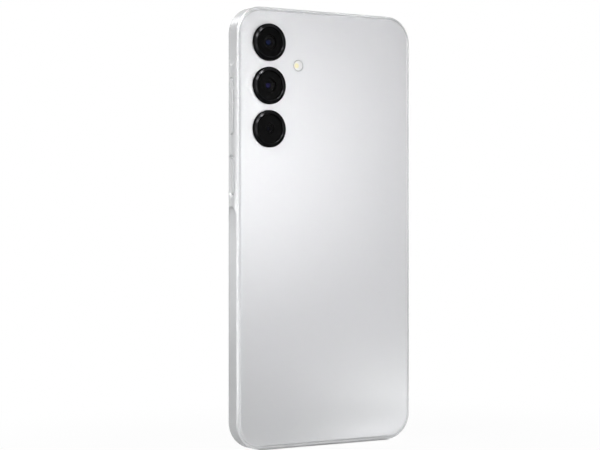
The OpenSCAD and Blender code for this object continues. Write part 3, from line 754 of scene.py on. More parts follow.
# Finish of each slot that a node has which keeps its solid.
FINISH_OF_SLOT: dict[str, Finish] = {
    "panel": Moulded("display_layer", (0.012, 0.012, 0.015), 0.25, 2.0, 0.002),
    "adhesive": Moulded("foam_adhesive", (0.02, 0.02, 0.02), 0.85, 6.0, 0.02),
    "chassis_alloy": BrushedMetal("machined_alloy", (0.50, 0.51, 0.53), 0.42, (0.3, 3.0, 3.0)),
    "barrel": BARREL_BLACK,
    "module": BrushedMetal("nickel_can", (0.32, 0.31, 0.30), 0.35, (4.0, 4.0, 0.3)),
    "flex": FlexFilm("amber_flex"),
    "phosphor": Phosphor("phosphor_yellow"),
    "board": SolderMask("green_board"),
    "chip": Moulded("chip_package", (0.02, 0.02, 0.021), 0.45, 5.0, 0.006),
    "shield": BrushedMetal("tinned_sheet", (0.66, 0.66, 0.64), 0.34, (0.2, 5.0, 5.0)),
    "steel": STEEL,
    "contacts": GOLD,
    "battery_wrap": Moulded("battery_film", (0.06, 0.06, 0.065), 0.38, 0.8, 0.015),
    "black_plastic": BLACK_PLASTIC,
    "membrane": Moulded("membrane_film", (0.14, 0.13, 0.11), 0.4, 2.5, 0.006),
    "seal": Moulded("black_rubber", (0.018, 0.018, 0.018), 0.75, 5.0, 0.01),
    "copper": BrushedMetal("copper_track", (0.72, 0.40, 0.24), 0.35, (3.0, 3.0, 3.0)),
}


class Facing(Enum):
    """Side of the phone that an outline is drawn on: a across, b along, h outwards."""

    RIGHT = "right"
    LEFT = "left"
    DOWN = "down"
    UP = "up"
    REAR = "rear"
    FRONT = "front"

    def place(self, a: float, b: float, h: float) -> Point:
        """Turns places on this side into a point.

        Args:
            a: Place across.
            b: Place along.
            h: Height outwards.

        Returns:
            The point, as x, y and z.
        """
        return {
            Facing.RIGHT: (h, a, b),
            Facing.LEFT: (-h, a, b),
            Facing.DOWN: (b, a, -h),
            Facing.UP: (b, a, h),
            Facing.REAR: (a, h, b),
            Facing.FRONT: (a, -h, b),
        }[self]


class Ends(Enum):
    """How the two ends of a loft are closed."""

    CAPPED = "capped"
    LOOPED = "looped"


class Change(Enum):
    """What one piece does to another."""

    CUT = "DIFFERENCE"
    JOIN = "UNION"


class Station(NamedTuple):
    """A point of an outline and the way outwards from it."""

    a: float
    b: float
    out_a: float
    out_b: float


Height = Union[float, Callable[[float, float], float]]
Outline = list[Station]


def quarter(steps: int) -> list[Pair]:
    """Gives the cosine and the sine of even steps over a quarter turn."""
    turns = [math.pi / 2 * i / steps for i in range(steps + 1)]
    return [(math.cos(t), math.sin(t)) for t in turns]


def circle(at: Pair, count: int = 96) -> Outline:
    """Makes an outline of no size whose stations point all round.

    Args:
        at: Its middle.
        count: How many stations it has.

    Returns:
        The outline, which an offset turns into a circle.
    """
    turns = [2 * math.pi * i / count for i in range(count)]
    return [Station(*at, math.cos(t), math.sin(t)) for t in turns]


def stadium(at: Pair, width: float, length: float, arc: int = 16, straight: int = 1) -> Outline:
    """Makes an outline with straight sides along b and round ends.

    Args:
        at: Its middle.
        width: Its size across.
        length: Its size along.
        arc: Steps in each half circle.
        straight: Steps along each straight side.

    Returns:
        The outline.
    """
    radius = width / 2
    reach = length / 2 - radius
    outline = []
    for sign in (1, -1):
        end = at[1] + sign * reach
        for i in range(arc + 1):
            turn = math.pi * i / arc + (0 if sign > 0 else math.pi)
            out = (math.cos(turn), math.sin(turn))
            outline.append(Station(at[0] + radius * out[0], end + radius * out[1], *out))
        for i in range(1, straight):
            along = sign * reach * (1 - 2 * i / straight)
            outline.append(Station(at[0] - sign * radius, at[1] + along, -sign, 0))
    return outline


def disc(at: Pair, radius: float, arc: int) -> Outline:
    """Makes a round outline: a stadium that is only a hair longer than it is wide."""
    return stadium(at, 2 * radius, 2 * radius + HAIR, arc)


def rounded_rect(
    at: Pair, half: Pair, radius: float, arc: int = 16, side: Sequence[float] = ()
) -> Outline:
    """Makes an outline with four round corners.

    Args:
        at: Its middle.
        half: Half its size across and along.
        radius: Radius of its corners.
        arc: Steps in each corner.
        side: Places along b of extra stations on the side at +a.

    Returns:
        The outline.
    """
    outline = []
    corners = ((1, -1, -0.5), (1, 1, 0.0), (-1, 1, 0.5), (-1, -1, 1.0))
    for sign_a, sign_b, start in corners:
        for i in range(arc + 1):
            turn = math.pi * (start + 0.5 * i / arc)
            out = (math.cos(turn), math.sin(turn))
            outline.append(Station(
                at[0] + sign_a * (half[0] - radius) + radius * out[0],
                at[1] + sign_b * (half[1] - radius) + radius * out[1],
                *out,
            ))
        if (sign_a, sign_b) == (1, -1):
            outline.extend(Station(at[0] + half[0], b, 1.0, 0.0) for b in side)
    return outline


def filleted(corners: Sequence[tuple[float, float, float]], steps: int = 6) -> list[Pair]:
    """Rounds the corners of a closed section.

    Args:
        corners: Each corner's two places and its radius, 0 for a sharp one.
        steps: Steps in each rounded corner.

    Returns:
        The points of the section.
    """
    points: list[Pair] = []
    for i, (u, v, radius) in enumerate(corners):
        here = Vector((u, v))
        if radius <= 0:
            points.append((u, v))
            continue
        back = (Vector(corners[i - 1][:2]) - here).normalized()
        ahead = (Vector(corners[(i + 1) % len(corners)][:2]) - here).normalized()
        half_angle = back.angle(ahead) / 2
        middle = here + (back + ahead).normalized() * (radius / math.sin(half_angle))
        start = here + back * (radius / math.tan(half_angle)) - middle
        turn = start.angle_signed(here + ahead * (radius / math.tan(half_angle)) - middle)
        for k in range(steps + 1):
            angle = -turn * k / steps
            points.append((
                middle.x + start.x * math.cos(angle) - start.y * math.sin(angle),
                middle.y + start.x * math.sin(angle) + start.y * math.cos(angle),
            ))
    return points


@dataclass
class Draft:
    """Points and faces of a shape in millimetres, while it is being drawn."""

    points: list[Point] = field(default_factory=list)
    faces: list[tuple[int, ...]] = field(default_factory=list)

    def loft(
        self,
        facing: Facing,
        outline: Outline,
        rings: Sequence[tuple[float, Height]],
        ends: Ends = Ends.CAPPED,
    ) -> "Draft":
        """Draws a skin through rings of one outline.

        Args:
            facing: Side of the phone that it is drawn on.
            outline: Shape of every ring.
            rings: How far each ring lies outside the outline, and its height.
            ends: How the first and the last ring are closed.

        Returns:
            The draft itself.
        """
        first = len(self.points)
        count = len(outline)
        for offset, height in rings:
            for s in outline:
                a, b = s.a + offset * s.out_a, s.b + offset * s.out_b
                h = height(a, b) if callable(height) else height
                self.points.append(facing.place(a, b, h))
        return self.skin(first, count, ends)

    def skin(self, first: int, count: int, ends: Ends) -> "Draft":
        """Draws the faces between the rings that were drawn last.

        Args:
            first: The first point of the first ring.
            count: How many points each ring has.
            ends: How the first and the last ring are closed.

        Returns:
            The draft itself.
        """
        rings = (len(self.points) - first) // count
        for r in range(rings if ends is Ends.LOOPED else rings - 1):
            low = first + r * count
            high = first + (r + 1) % rings * count
            for i in range(count):
                j = (i + 1) % count
                self.faces.append((low + i, low + j, high + j, high + i))
        if ends is Ends.CAPPED:
            for cap in (first, first + (rings - 1) * count):
                self.faces.append(tuple(range(cap, cap + count)))
        return self

    def lathe(
        self, at: Pair, profile: Sequence[Pair], count: int = 96, ends: Ends = Ends.CAPPED
    ) -> "Draft":
        """Turns a profile round an axis through the phone's thickness.

        Args:
            at: The axis, as x and z.
            profile: Radius and y of each point.
            count: Steps round the axis.
            ends: How the profile's two ends are closed.

        Returns:
            The draft itself.
        """
        return self.loft(Facing.REAR, circle(at, count), profile, ends)

    def build(self, name: str) -> Piece:
        """Makes the object, with closed seams, outward faces and smooth shading.

        Args:
            name: The object's name.

        Returns:
            The object, at the origin.
        """
        mesh = point_mesh(name, self.points, self.faces)
        work = bmesh.new()
        work.from_mesh(mesh)
        bmesh.ops.remove_doubles(work, verts=work.verts, dist=1e-8)
        bmesh.ops.dissolve_degenerate(work, edges=work.edges, dist=1e-9)
        bmesh.ops.recalc_face_normals(work, faces=work.faces)
        work.to_mesh(mesh)
        work.free()
        return smooth(new_piece(name, mesh))


def point_mesh(name: str, points: Sequence[Point], faces: Sequence[tuple]) -> bpy.types.Mesh:
    """Makes a mesh from points in millimetres.

    Args:
        name: Name of the mesh.
        points: Its points.
        faces: The points of each face.

    Returns:
        The mesh, in metres.
    """
    mesh = bpy.data.meshes.new(name)
    mesh.from_pydata([tuple(c * MM for c in p) for p in points], [], faces)
    return mesh


def new_piece(name: str, mesh: bpy.types.Mesh) -> Piece:
    """Sets a mesh in the scene.

    Args:
        name: Name of the piece.
        mesh: Its mesh.

    Returns:
        The piece, at the origin.
    """
    piece = bpy.data.objects.new(name, mesh)
    bpy.context.scene.collection.objects.link(piece)
    return piece


def smooth(piece: Piece) -> Piece:
    """Shades a piece smooth, with sharp edges where its faces turn.

    Args:
        piece: The piece.

    Returns:
        The same piece.
    """
    piece.data.shade_smooth()
    piece.data.set_sharp_from_angle(angle=SMOOTH_ANGLE)
    return piece


def settle(piece: Piece) -> Piece:
    """Turns a piece's modifiers into plain mesh.

    Args:
        piece: The piece.

    Returns:
        The same piece, with no modifiers.
    """
    graph = bpy.context.evaluated_depsgraph_get()
    mesh = bpy.data.meshes.new_from_object(
        piece.evaluated_get(graph), preserve_all_data_layers=True, depsgraph=graph
    )
    piece.modifiers.clear()
    piece.data = mesh
    return piece


def combine(piece: Piece, tool: Piece, change: Change) -> Piece:
    """Cuts a tool out of a piece, or joins it on.

    Args:
        piece: The piece.
        tool: The closed shape, which is used up.
        change: Whether it cuts or is joined on.

    Returns:
        The changed piece, shaded smooth.
    """
    boolean = piece.modifiers.new("combine", "BOOLEAN")
    boolean.operation = change.value
    boolean.solver = "EXACT"
    boolean.object = tool
    settle(piece)
    bpy.data.objects.remove(tool)
    return smooth(piece)


def evened(piece: Piece) -> Piece:
    """Gives a piece normals that follow its larger faces.

    Args:
        piece: The piece.

    Returns:
        The same piece.
    """
    change = piece.modifiers.new("normals", "WEIGHTED_NORMAL")
    change.keep_sharp = True
    return settle(piece)


def joined(name: str, pieces: Sequence[Piece]) -> Piece:
    """Joins several pieces into one mesh.

    Args:
        name: Name of the joined piece.
        pieces: The pieces, which are used up.

    Returns:
        The joined piece.
    """
    work = bmesh.new()
    for piece in pieces:
        work.from_mesh(piece.data)
    mesh = bpy.data.meshes.new(name)
    work.to_mesh(mesh)
    work.free()
    for piece in pieces:
        bpy.data.objects.remove(piece)
    return smooth(new_piece(name, mesh))


def eased_copy(node: str, name: str, width: float) -> Piece:
    """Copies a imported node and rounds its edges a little.

    Args:
        node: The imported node.
        name: Name of the copy.
        width: Width of the rounding, in millimetres.

    Returns:
        The copy.
    """
    work = bmesh.new()
    work.from_mesh(frame["nodes"][node].data)
    bmesh.ops.remove_doubles(work, verts=work.verts, dist=1e-7)
    bmesh.ops.dissolve_limit(
        work, angle_limit=FLAT_ANGLE, verts=work.verts, edges=work.edges
    )
    mesh = bpy.data.meshes.new(name)
    work.to_mesh(mesh)
    work.free()
    piece = new_piece(name, mesh)
    change = piece.modifiers.new("ease", "BEVEL")
    change.width = width * MM
    change.segments = 2
    change.limit_method = "ANGLE"
    change.angle_limit = EASED_ANGLE
    return evened(smooth(settle(piece)))


class CopyTree:
    """A Geometry Nodes tree that sets copies of one shape on points."""

    def __init__(self, name: str, inputs: dict[str, str]) -> None:
        """Makes the group with its named inputs.

        Args:
            name: Name of the group.
            inputs: Socket type of each input besides the shape and its finish.
        """
        self.group = bpy.data.node_groups.new(name, "GeometryNodeTree")
        self.ids: dict[str, str] = {}
        face = self.group.interface
        face.new_socket("Geometry", in_out="INPUT", socket_type="NodeSocketGeometry")
        named = {"Shape": "NodeSocketObject", "Finish": "NodeSocketMaterial", **inputs}
        for label, kind in named.items():
            self.ids[label] = face.new_socket(label, in_out="INPUT", socket_type=kind).identifier
        face.new_socket("Geometry", in_out="OUTPUT", socket_type="NodeSocketGeometry")
        self.source = self.group.nodes.new("NodeGroupInput").outputs

    def add(self, kind: str, settings: dict, sockets: dict) -> bpy.types.Node:
        """Adds a node.

        Args:
            kind: The node's type.
            settings: The node's own settings.
            sockets: Values or links of its inputs.

        Returns:
            The node.
        """
        node = self.group.nodes.new(kind)
        for name, value in settings.items():
            setattr(node, name, value)
        for name, value in sockets.items():
            if isinstance(value, bpy.types.NodeSocket):
                self.group.links.new(value, node.inputs[name])
            else:
                node.inputs[name].default_value = value
        return node

    def close(
        self, points: bpy.types.NodeSocket, rotation: Optional[bpy.types.NodeSocket] = None
    ) -> None:
        """Sets the copies on points, as plain mesh with their finish.

        Args:
            points: Where the copies go.
            rotation: How each one is turned, if it is.
        """
        shape = self.add("GeometryNodeObjectInfo", {}, {"Object": self.source["Shape"]})
        turned = {} if rotation is None else {"Rotation": rotation}
        copies = self.add(
            "GeometryNodeInstanceOnPoints", {},
            {"Points": points, "Instance": shape.outputs["Geometry"], **turned},
        )
        real = self.add("GeometryNodeRealizeInstances", {}, {"Geometry": copies.outputs[0]})
        dressed = self.add(
            "GeometryNodeSetMaterial", {},
            {"Geometry": real.outputs[0], "Material": self.source["Finish"]},
        )
        end = self.group.nodes.new("NodeGroupOutput")
        self.group.links.new(dressed.outputs[0], end.inputs[0])

    def run(self, name: str, points: Sequence[Point], values: dict) -> Piece:
        """Makes a piece with the tree.

        Args:
            name: The piece's name.
            points: Points of the piece's own mesh, in millimetres.
            values: Value of each named input.

        Returns:
            The piece as plain mesh. The shape that was copied is used up.
        """
        piece = new_piece(name, point_mesh(name, points, []))
        change = piece.modifiers.new("copies", "NODES")
        change.node_group = self.group
        for label, value in values.items():
            change[self.ids[label]] = value
        settle(piece)
        bpy.data.objects.remove(values["Shape"])
        return piece


class GridOfCopies(CopyTree):
    """Copies in rows and columns."""

    def __init__(self) -> None:
        """Builds a line of points on each point of another line."""
        super().__init__("grid_of_copies", {
            "Columns": "NodeSocketInt",
            "Rows": "NodeSocketInt",
            "Start": "NodeSocketVector",
            "Column Step": "NodeSocketVector",
            "Row Step": "NodeSocketVector",
        })
        across = self.add("GeometryNodeMeshLine", {"mode": "OFFSET"}, {
            "Count": self.source["Columns"],
            "Start Location": self.source["Start"],
            "Offset": self.source["Column Step"],
        })
        along = self.add("GeometryNodeMeshLine", {"mode": "OFFSET"}, {
            "Count": self.source["Rows"],
            "Offset": self.source["Row Step"],
        })
        grid = self.add(
            "GeometryNodeInstanceOnPoints", {},
            {"Points": across.outputs[0], "Instance": along.outputs[0]},
        )
        points = self.add("GeometryNodeRealizeInstances", {}, {"Geometry": grid.outputs[0]})
        self.close(points.outputs[0])

    def fill(
        self, name: str, shape: Piece, finish: bpy.types.Material,
        count: tuple[int, int], start: Point, steps: tuple[Point, Point],
    ) -> Piece:
        """Makes a piece of copies in rows and columns.

        Args:
            name: The piece's name.
            shape: The shape to copy, drawn at the origin.
            finish: Material of the copies.
            count: How many columns and rows.
            start: Place of the first copy, in millimetres.
            steps: From one column to the next, and from one row to the next.

        Returns:
            The piece.
        """
        return self.run(name, [], {
            "Shape": shape,
            "Finish": finish,
            "Columns": count[0],
            "Rows": count[1],
            "Start": [c * MM for c in start],
            "Column Step": [c * MM for c in steps[0]],
            "Row Step": [c * MM for c in steps[1]],
        })


class ScatterOfCopies(CopyTree):
    """Copies on given points, each turned by a chance angle about the thickness axis."""

    def __init__(self) -> None:
        """Builds a seeded turn for every point."""
        super().__init__("scatter_of_copies", {"Seed": "NodeSocketInt"})
        angle = self.add(
            "FunctionNodeRandomValue", {"data_type": "FLOAT"},
            {3: 2 * math.pi, "Seed": self.source["Seed"]},
        )
        turn = self.add("ShaderNodeCombineXYZ", {}, {"Y": angle.outputs[1]})
        rotation = self.add("FunctionNodeEulerToRotation", {}, {"Euler": turn.outputs[0]})
        self.close(self.source["Geometry"], rotation.outputs[0])


@dataclass
class Workshop:
    """Copies shapes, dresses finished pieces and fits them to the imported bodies."""

    grid: GridOfCopies = field(default_factory=GridOfCopies)
    scatter: ScatterOfCopies = field(default_factory=ScatterOfCopies)
    materials: dict[Finish, bpy.types.Material] = field(default_factory=dict)
    replaced: set[str] = field(default_factory=set)

    def material(self, finish: Finish) -> bpy.types.Material:
        """Gives the one material of a finish.

        Args:
            finish: The finish.

        Returns:
            Its material, which is made when it is first asked for.
        """
        if finish not in self.materials:
            self.materials[finish] = finish.build()
        return self.materials[finish]

    def paint(self, piece: Piece, finish: Finish) -> None:
        """Gives a piece a single finish."""
        piece.data.materials.clear()
        piece.data.materials.append(self.material(finish))

    def fit(
        self, piece: Piece, body: str, slot: str, finish: Finish, *nodes: str
    ) -> None:
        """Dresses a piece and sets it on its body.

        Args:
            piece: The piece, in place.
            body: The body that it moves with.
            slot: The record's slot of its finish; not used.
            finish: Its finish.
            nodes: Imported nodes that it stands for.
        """
        self.paint(piece, finish)
        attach(piece, body)
        if nodes:
            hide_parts(*nodes)
            self.replaced.update(nodes)
        LOG.info("%s rides on %s with %d faces", piece.name, body, len(piece.data.polygons))

    def dress_nodes(self) -> None:
        """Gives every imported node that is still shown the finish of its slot."""
        for part in frame["record"]["subparts"]:
            if part["node"] in self.replaced:
                continue
            self.paint(frame["nodes"][part["node"]], FINISH_OF_SLOT[part["material_slot"]])
            LOG.info("%s keeps its solid, in %s", part["node"], part["material_slot"])


class Assembly:
    """A part of the phone that is drawn finer than its solids."""

    def dress(self, shop: Workshop) -> None:
        """Builds the pieces, gives them their finishes and sets them on their bodies.

        Args:
            shop: What copies, dresses and fits them.
        """
        raise NotImplementedError


@dataclass
class SideFrame(Assembly):
    """The band round the phone, with the raised island that carries the keys."""

    half_w: float = 38.95
    half_h: float = MID_Z
    corner_r: float = 10.2
    flat_rear: float = 3.25
    flat_front: float = -2.29
    side_y: float = SIDE_Y
    rim_w: float = 1.0
    rim_rise: float = 0.27
    front_rim_w: float = 0.95
    front_rim_y: float = -3.45
    rear_ledge: float = 2.95
    front_ledge: float = -3.2
    wall: float = 2.0
    edge_r: float = 0.22
    lip_r: float = 0.07
    flat_steps: int = 28
    rim_steps: int = 14
    corner_steps: int = 24
    outer_skin: float = 0.3
    island_low: float = 90.2
    island_high: float = 142.2
    island_h: float = 0.75
    island_half: float = 2.72
    island_scoop: float = 3.0
    island_curve: float = 7.0
    island_fade: float = 1.5
    ease_h: float = 0.12
    ease_drop: float = 0.03
    apron_h: float = 0.36
    apron_l: float = 13.0
    apron_fade: float = 1.5
    end_outside: float = 0.6
    end_inside: float = 1.4
    end_step: float = 0.15
    middle_start: float = 2.5
    middle_step: float = 1.5
    outer_step: float = 0.9
    outer_steps: int = 12
    side_top: float = 153.0
    volume: Pair = (VOLUME_Z, 20.8)
    power: Pair = (POWER_Z, 14.2)
    key_w: float = 2.5
    key_gap: float = 0.14
    pocket_w: float = 2.8
    pocket_gap: float = 0.15
    pocket_floor: float = 39.0
    pocket_ease: float = 0.04
    pocket_flare: float = 0.94
    pocket_past: Pair = (1.05, 0.3)
    slot_ease: float = 0.10
    slot_flare: float = 0.30
    cut_in: float = 1.0
    cut_out: float = 0.5
    key_cut_out: float = 2.0
    tray_z: float = 133.8
    door: Pair = (2.6, 17.6)
    door_seat: float = 1.28
    door_stop: float = 0.3
    door_gap: float = 0.08
    door_ease: float = 0.06
    usb: Pair = (3.36, 9.14)
    usb_ease: float = 0.18
    slot: Pair = (1.1, 2.2)
    sound_ease: float = 0.1
    slot_x: float = SPEAKER_X
    slot_pitch: float = 3.1
    slots: int = 5
    mic_r: float = 0.5
    mic_ease: float = 0.08
    mic_low_x: float = -13.5
    mic_top_x: float = 10.0

    def section(self) -> list[Pair]:
        """Draws the band's cross-section.

        Returns:
            Depth inwards from the outer face, and y, of each point.
        """
        corners = filleted([
            (0, self.flat_front, 0),
            (0, self.flat_rear, self.edge_r),
            (self.rim_w, self.flat_rear + self.rim_rise, self.lip_r),
            (self.rim_w, self.rear_ledge, 0),
            (self.wall, self.rear_ledge, 0),
            (self.wall, self.front_ledge, 0),
            (self.front_rim_w, self.front_ledge, 0),
        ])
        height = corners[1][1] - self.flat_front
        flat = [
            (0.0, self.flat_front + height * i / self.flat_steps) for i in range(self.flat_steps)
        ]
        drop = self.front_rim_y - self.flat_front
        front = [
            (self.front_rim_w * (1 - cos), self.flat_front + drop * sin)
            for cos, sin in reversed(quarter(self.rim_steps)[1:])
        ]
        return flat + corners[1:] + front

    def swell(self, y: float, z: float) -> float:
        """Shapes the key island: an arc across, scooped ends and a shallow apron beyond them.

        Args:
            y: Place across the side.
            z: Place along it.

        Returns:
            How far the island stands out of the side there.
        """
        across = y - self.side_y
        if abs(across) >= self.island_half:
            return 0.0
        bend = (self.island_half ** 2 + self.island_h ** 2) / (2 * self.island_h)
        height = math.sqrt(bend ** 2 - across ** 2) - bend + self.island_h
        for end, sign in ((self.island_low, 1), (self.island_high, -1)):
            along = max((z - end) * sign + self.island_scoop, 0)
            reach = math.hypot(across / self.island_half, along / self.island_scoop)
            fade = min(along / self.island_fade, 1)
            hollow = self.island_h * reach ** self.island_curve * fade ** 2 * (3 - 2 * fade)
            ease = max(self.ease_h - abs(height - hollow), 0) / self.ease_h
            height = max(min(height, hollow) - ease ** 2 * self.ease_drop, 0)
        beyond = max(self.island_low - z, z - self.island_high)
        apron = self.apron_h * max(1 - max(beyond, 0) / self.apron_l, 0) ** 2
        apron *= min(max(1 + beyond / self.apron_fade, 0), 1)
        apron *= 1 - height / self.island_h
        return height + apron * (1 - (across / self.island_half) ** 2)

    def sides(self) -> list[float]:
        """Spaces the stations along the key side, close together at the island's ends.

        Returns:
            Their places along z.
        """
        reach = self.island_scoop + self.end_outside
        low = self.island_low - reach
        high = self.island_high - self.end_inside
        steps = int((reach + self.end_inside) / self.end_step)
        fine = [i * self.end_step for i in range(steps + 1)]
        top = high + fine[-1]
        start = self.island_low + self.middle_start
        span = int((high - start) / self.middle_step) + 1
        middle = [start + i * self.middle_step for i in range(span)]
        outer = [i * self.outer_step for i in range(1, self.outer_steps + 1)]
        places = [end + f for end in (low, high) for f in fine]
        places += [m for m in middle if m < high - self.middle_step / 3]
        places += [low - f for f in outer] + [top + f for f in outer if top + f < self.side_top]
        return sorted({round(place, 4) for place in places})

    def band(self) -> Piece:
        """Sweeps the section round the phone and raises the island.

        Returns:
            The band, with no openings.
        """
        outline = rounded_rect(
            (0, self.half_h), (self.half_w, self.half_h), self.corner_r,
            self.corner_steps, self.sides(),
        )
        draft = Draft()
        for depth, y in self.section():
            for s in outline:
                raised = s.out_a == 1.0 and depth < self.outer_skin
                rise = self.swell(y, s.b) if raised else 0.0
                draft.points.append((s.a - depth * s.out_a + rise, y, s.b - depth * s.out_b))
        return draft.skin(0, len(outline), Ends.LOOPED).build("frame_band")

    def crest(self, y: float, _z: float) -> float:
        """Gives x of the key side's face, the same along z as in the island's middle."""
        return self.half_w + self.swell(y, (self.island_low + self.island_high) / 2)

    def key_openings(self) -> Draft:
        """Draws the slot of the volume key and the flared pocket of the power key.

        Returns:
            Both, as closed shapes to cut out.
        """
        draft = Draft()
        floor = self.half_w - self.wall - self.cut_in
        beyond = self.half_w + self.key_cut_out
        gap, ease, flare = self.key_gap, self.slot_ease, self.slot_flare
        volume = stadium((self.side_y, self.volume[0]), self.key_w, self.volume[1], 20, 4)
        draft.loft(Facing.RIGHT, volume, [
            (gap, floor),
            (gap, lambda a, b: self.crest(a, b) - ease),
            (gap + ease, self.crest),
            (gap + ease + flare, lambda a, b: self.crest(a, b) + flare),
            (gap + ease + flare, beyond),
        ])
        gap, ease, low = self.pocket_gap, self.pocket_ease, self.pocket_floor
        rise = self.half_w + self.island_h - low
        wide, past = self.pocket_past
        power = stadium((self.side_y, self.power[0]), self.pocket_w, self.power[1], 20, 4)
        draft.loft(Facing.RIGHT, power, [
            (gap, floor),
            (gap, low - ease),
            (gap + ease, low),
            (gap + rise * self.pocket_flare, low + rise),
            (gap + rise * wide, low + rise + past),
            (gap + rise * wide, beyond),
        ])
        return draft

    def small_opening(
        self, draft: Draft, facing: Facing, outline: Outline, face: float, ease: float
    ) -> None:
        """Draws a hole through the wall with an eased edge.

        Args:
            draft: Where it is drawn.
            facing: The side that it goes through.
            outline: Its shape.
            face: How far out that side's face lies.
            ease: Width of the eased edge.
        """
        draft.loft(facing, outline, [
            (0, face - self.wall - self.cut_in),
            (0, face - ease),
            (ease, face),
            (ease + self.cut_out, face + self.cut_out),
        ])

    def openings(self) -> Draft:
        """Draws the holes of the tray, the port, the loudspeaker and the microphones.

        Returns:
            All of them, as closed shapes to cut out.
        """
        draft = Draft()
        tray = stadium((self.side_y, self.tray_z), *self.door, 16)
        face, seat = self.half_w, self.half_w - self.door_seat
        edge = self.door_gap + self.door_ease
        draft.loft(Facing.LEFT, tray, [
            (-self.door_stop, face - self.wall - self.cut_in),
            (-self.door_stop, seat),
            (self.door_gap, seat),
            (self.door_gap, face - self.door_ease),
            (edge, face),
            (edge + self.cut_out, face + self.cut_out),
        ])
        port = stadium((self.side_y, 0), *self.usb, 16)
        self.small_opening(draft, Facing.DOWN, port, 0, self.usb_ease)
        for i in range(self.slots):
            x = self.slot_x + (i - (self.slots - 1) / 2) * self.slot_pitch
            hole = stadium((self.side_y, x), *self.slot, 12)
            self.small_opening(draft, Facing.DOWN, hole, 0, self.sound_ease)
        for facing, x, face in (
            (Facing.DOWN, self.mic_low_x, 0),
            (Facing.UP, self.mic_top_x, 2 * self.half_h),
        ):
            hole = disc((self.side_y, x), self.mic_r, 16)
            self.small_opening(draft, facing, hole, face, self.mic_ease)
        return draft

    def dress(self, shop: Workshop) -> None:
        """Builds the band, cuts its openings and fits it.

        Args:
            shop: What copies, dresses and fits.
        """
        piece = combine(self.band(), self.key_openings().build("key_cut"), Change.CUT)
        piece = evened(combine(piece, self.openings().build("edge_cut"), Change.CUT))
        shop.fit(piece, "chassis", "frame", FRAME_SILVER, "side_frame")


@dataclass
class RearCover(Assembly):
    """The flat rear cover, with a rounded edge and holes for the cameras and the flash."""

    half_w: float = 37.9
    half_h: float = 81.15
    mid_z: float = MID_Z
    corner_r: float = 9.15
    under_y: float = 3.1
    face_y: float = COVER_Y
    edge_run: float = 0.46
    edge_rise: float = 0.43
    edge_round: float = 0.35
    foot_round: float = 0.08
    under_in: float = 0.3
    face_in: float = 1.0
    cut_past: float = 1.0
    camera_x: float = CAMERA_X
    camera_z: tuple[float, ...] = CAMERA_Z
    camera_r: float = 6.35
    flash: Pair = FLASH_AT
    flash_r: float = 2.15
    flash_ease: float = 0.05

    def build(self) -> Piece:
        """Draws the plate and cuts its holes.

        Returns:
            The plate.
        """
        outline = rounded_rect((0, self.mid_z), (self.half_w, self.half_h), self.corner_r, 24)
        rings = filleted([
            (-self.under_in, self.under_y, 0),
            (0, self.under_y, 0),
            (0, self.face_y - self.edge_rise, self.foot_round),
            (-self.edge_run, self.face_y, self.edge_round),
            (-self.face_in, self.face_y, 0),
        ])
        plate = Draft().loft(Facing.REAR, outline, rings).build("rear_cover_plate")
        holes = Draft()
        low, high = self.under_y - self.cut_past, self.face_y + self.cut_past
        bore = [(self.camera_r, low), (self.camera_r, high)]
        for z in self.camera_z:
            holes.lathe((self.camera_x, z), bore)
        holes.lathe(self.flash, [
            (self.flash_r, low),
            (self.flash_r, self.face_y - self.flash_ease),
            (self.flash_r + 2 * self.flash_ease, self.face_y + self.flash_ease),
        ], 64)
        return evened(combine(plate, holes.build("cover_cut"), Change.CUT))

    def dress(self, shop: Workshop) -> None:
        """Builds the cover and fits it."""
        shop.fit(self.build(), "chassis", "cover", COVER_SILVER, "back_cover")


@dataclass
class Lens:
    """One rear camera behind its ring."""

    label: str
    body: str
    z: float
    barrel_r: float
    face_y: float
    foot: tuple[Pair, ...]
    coat: Finish
    nodes: tuple[str, ...]


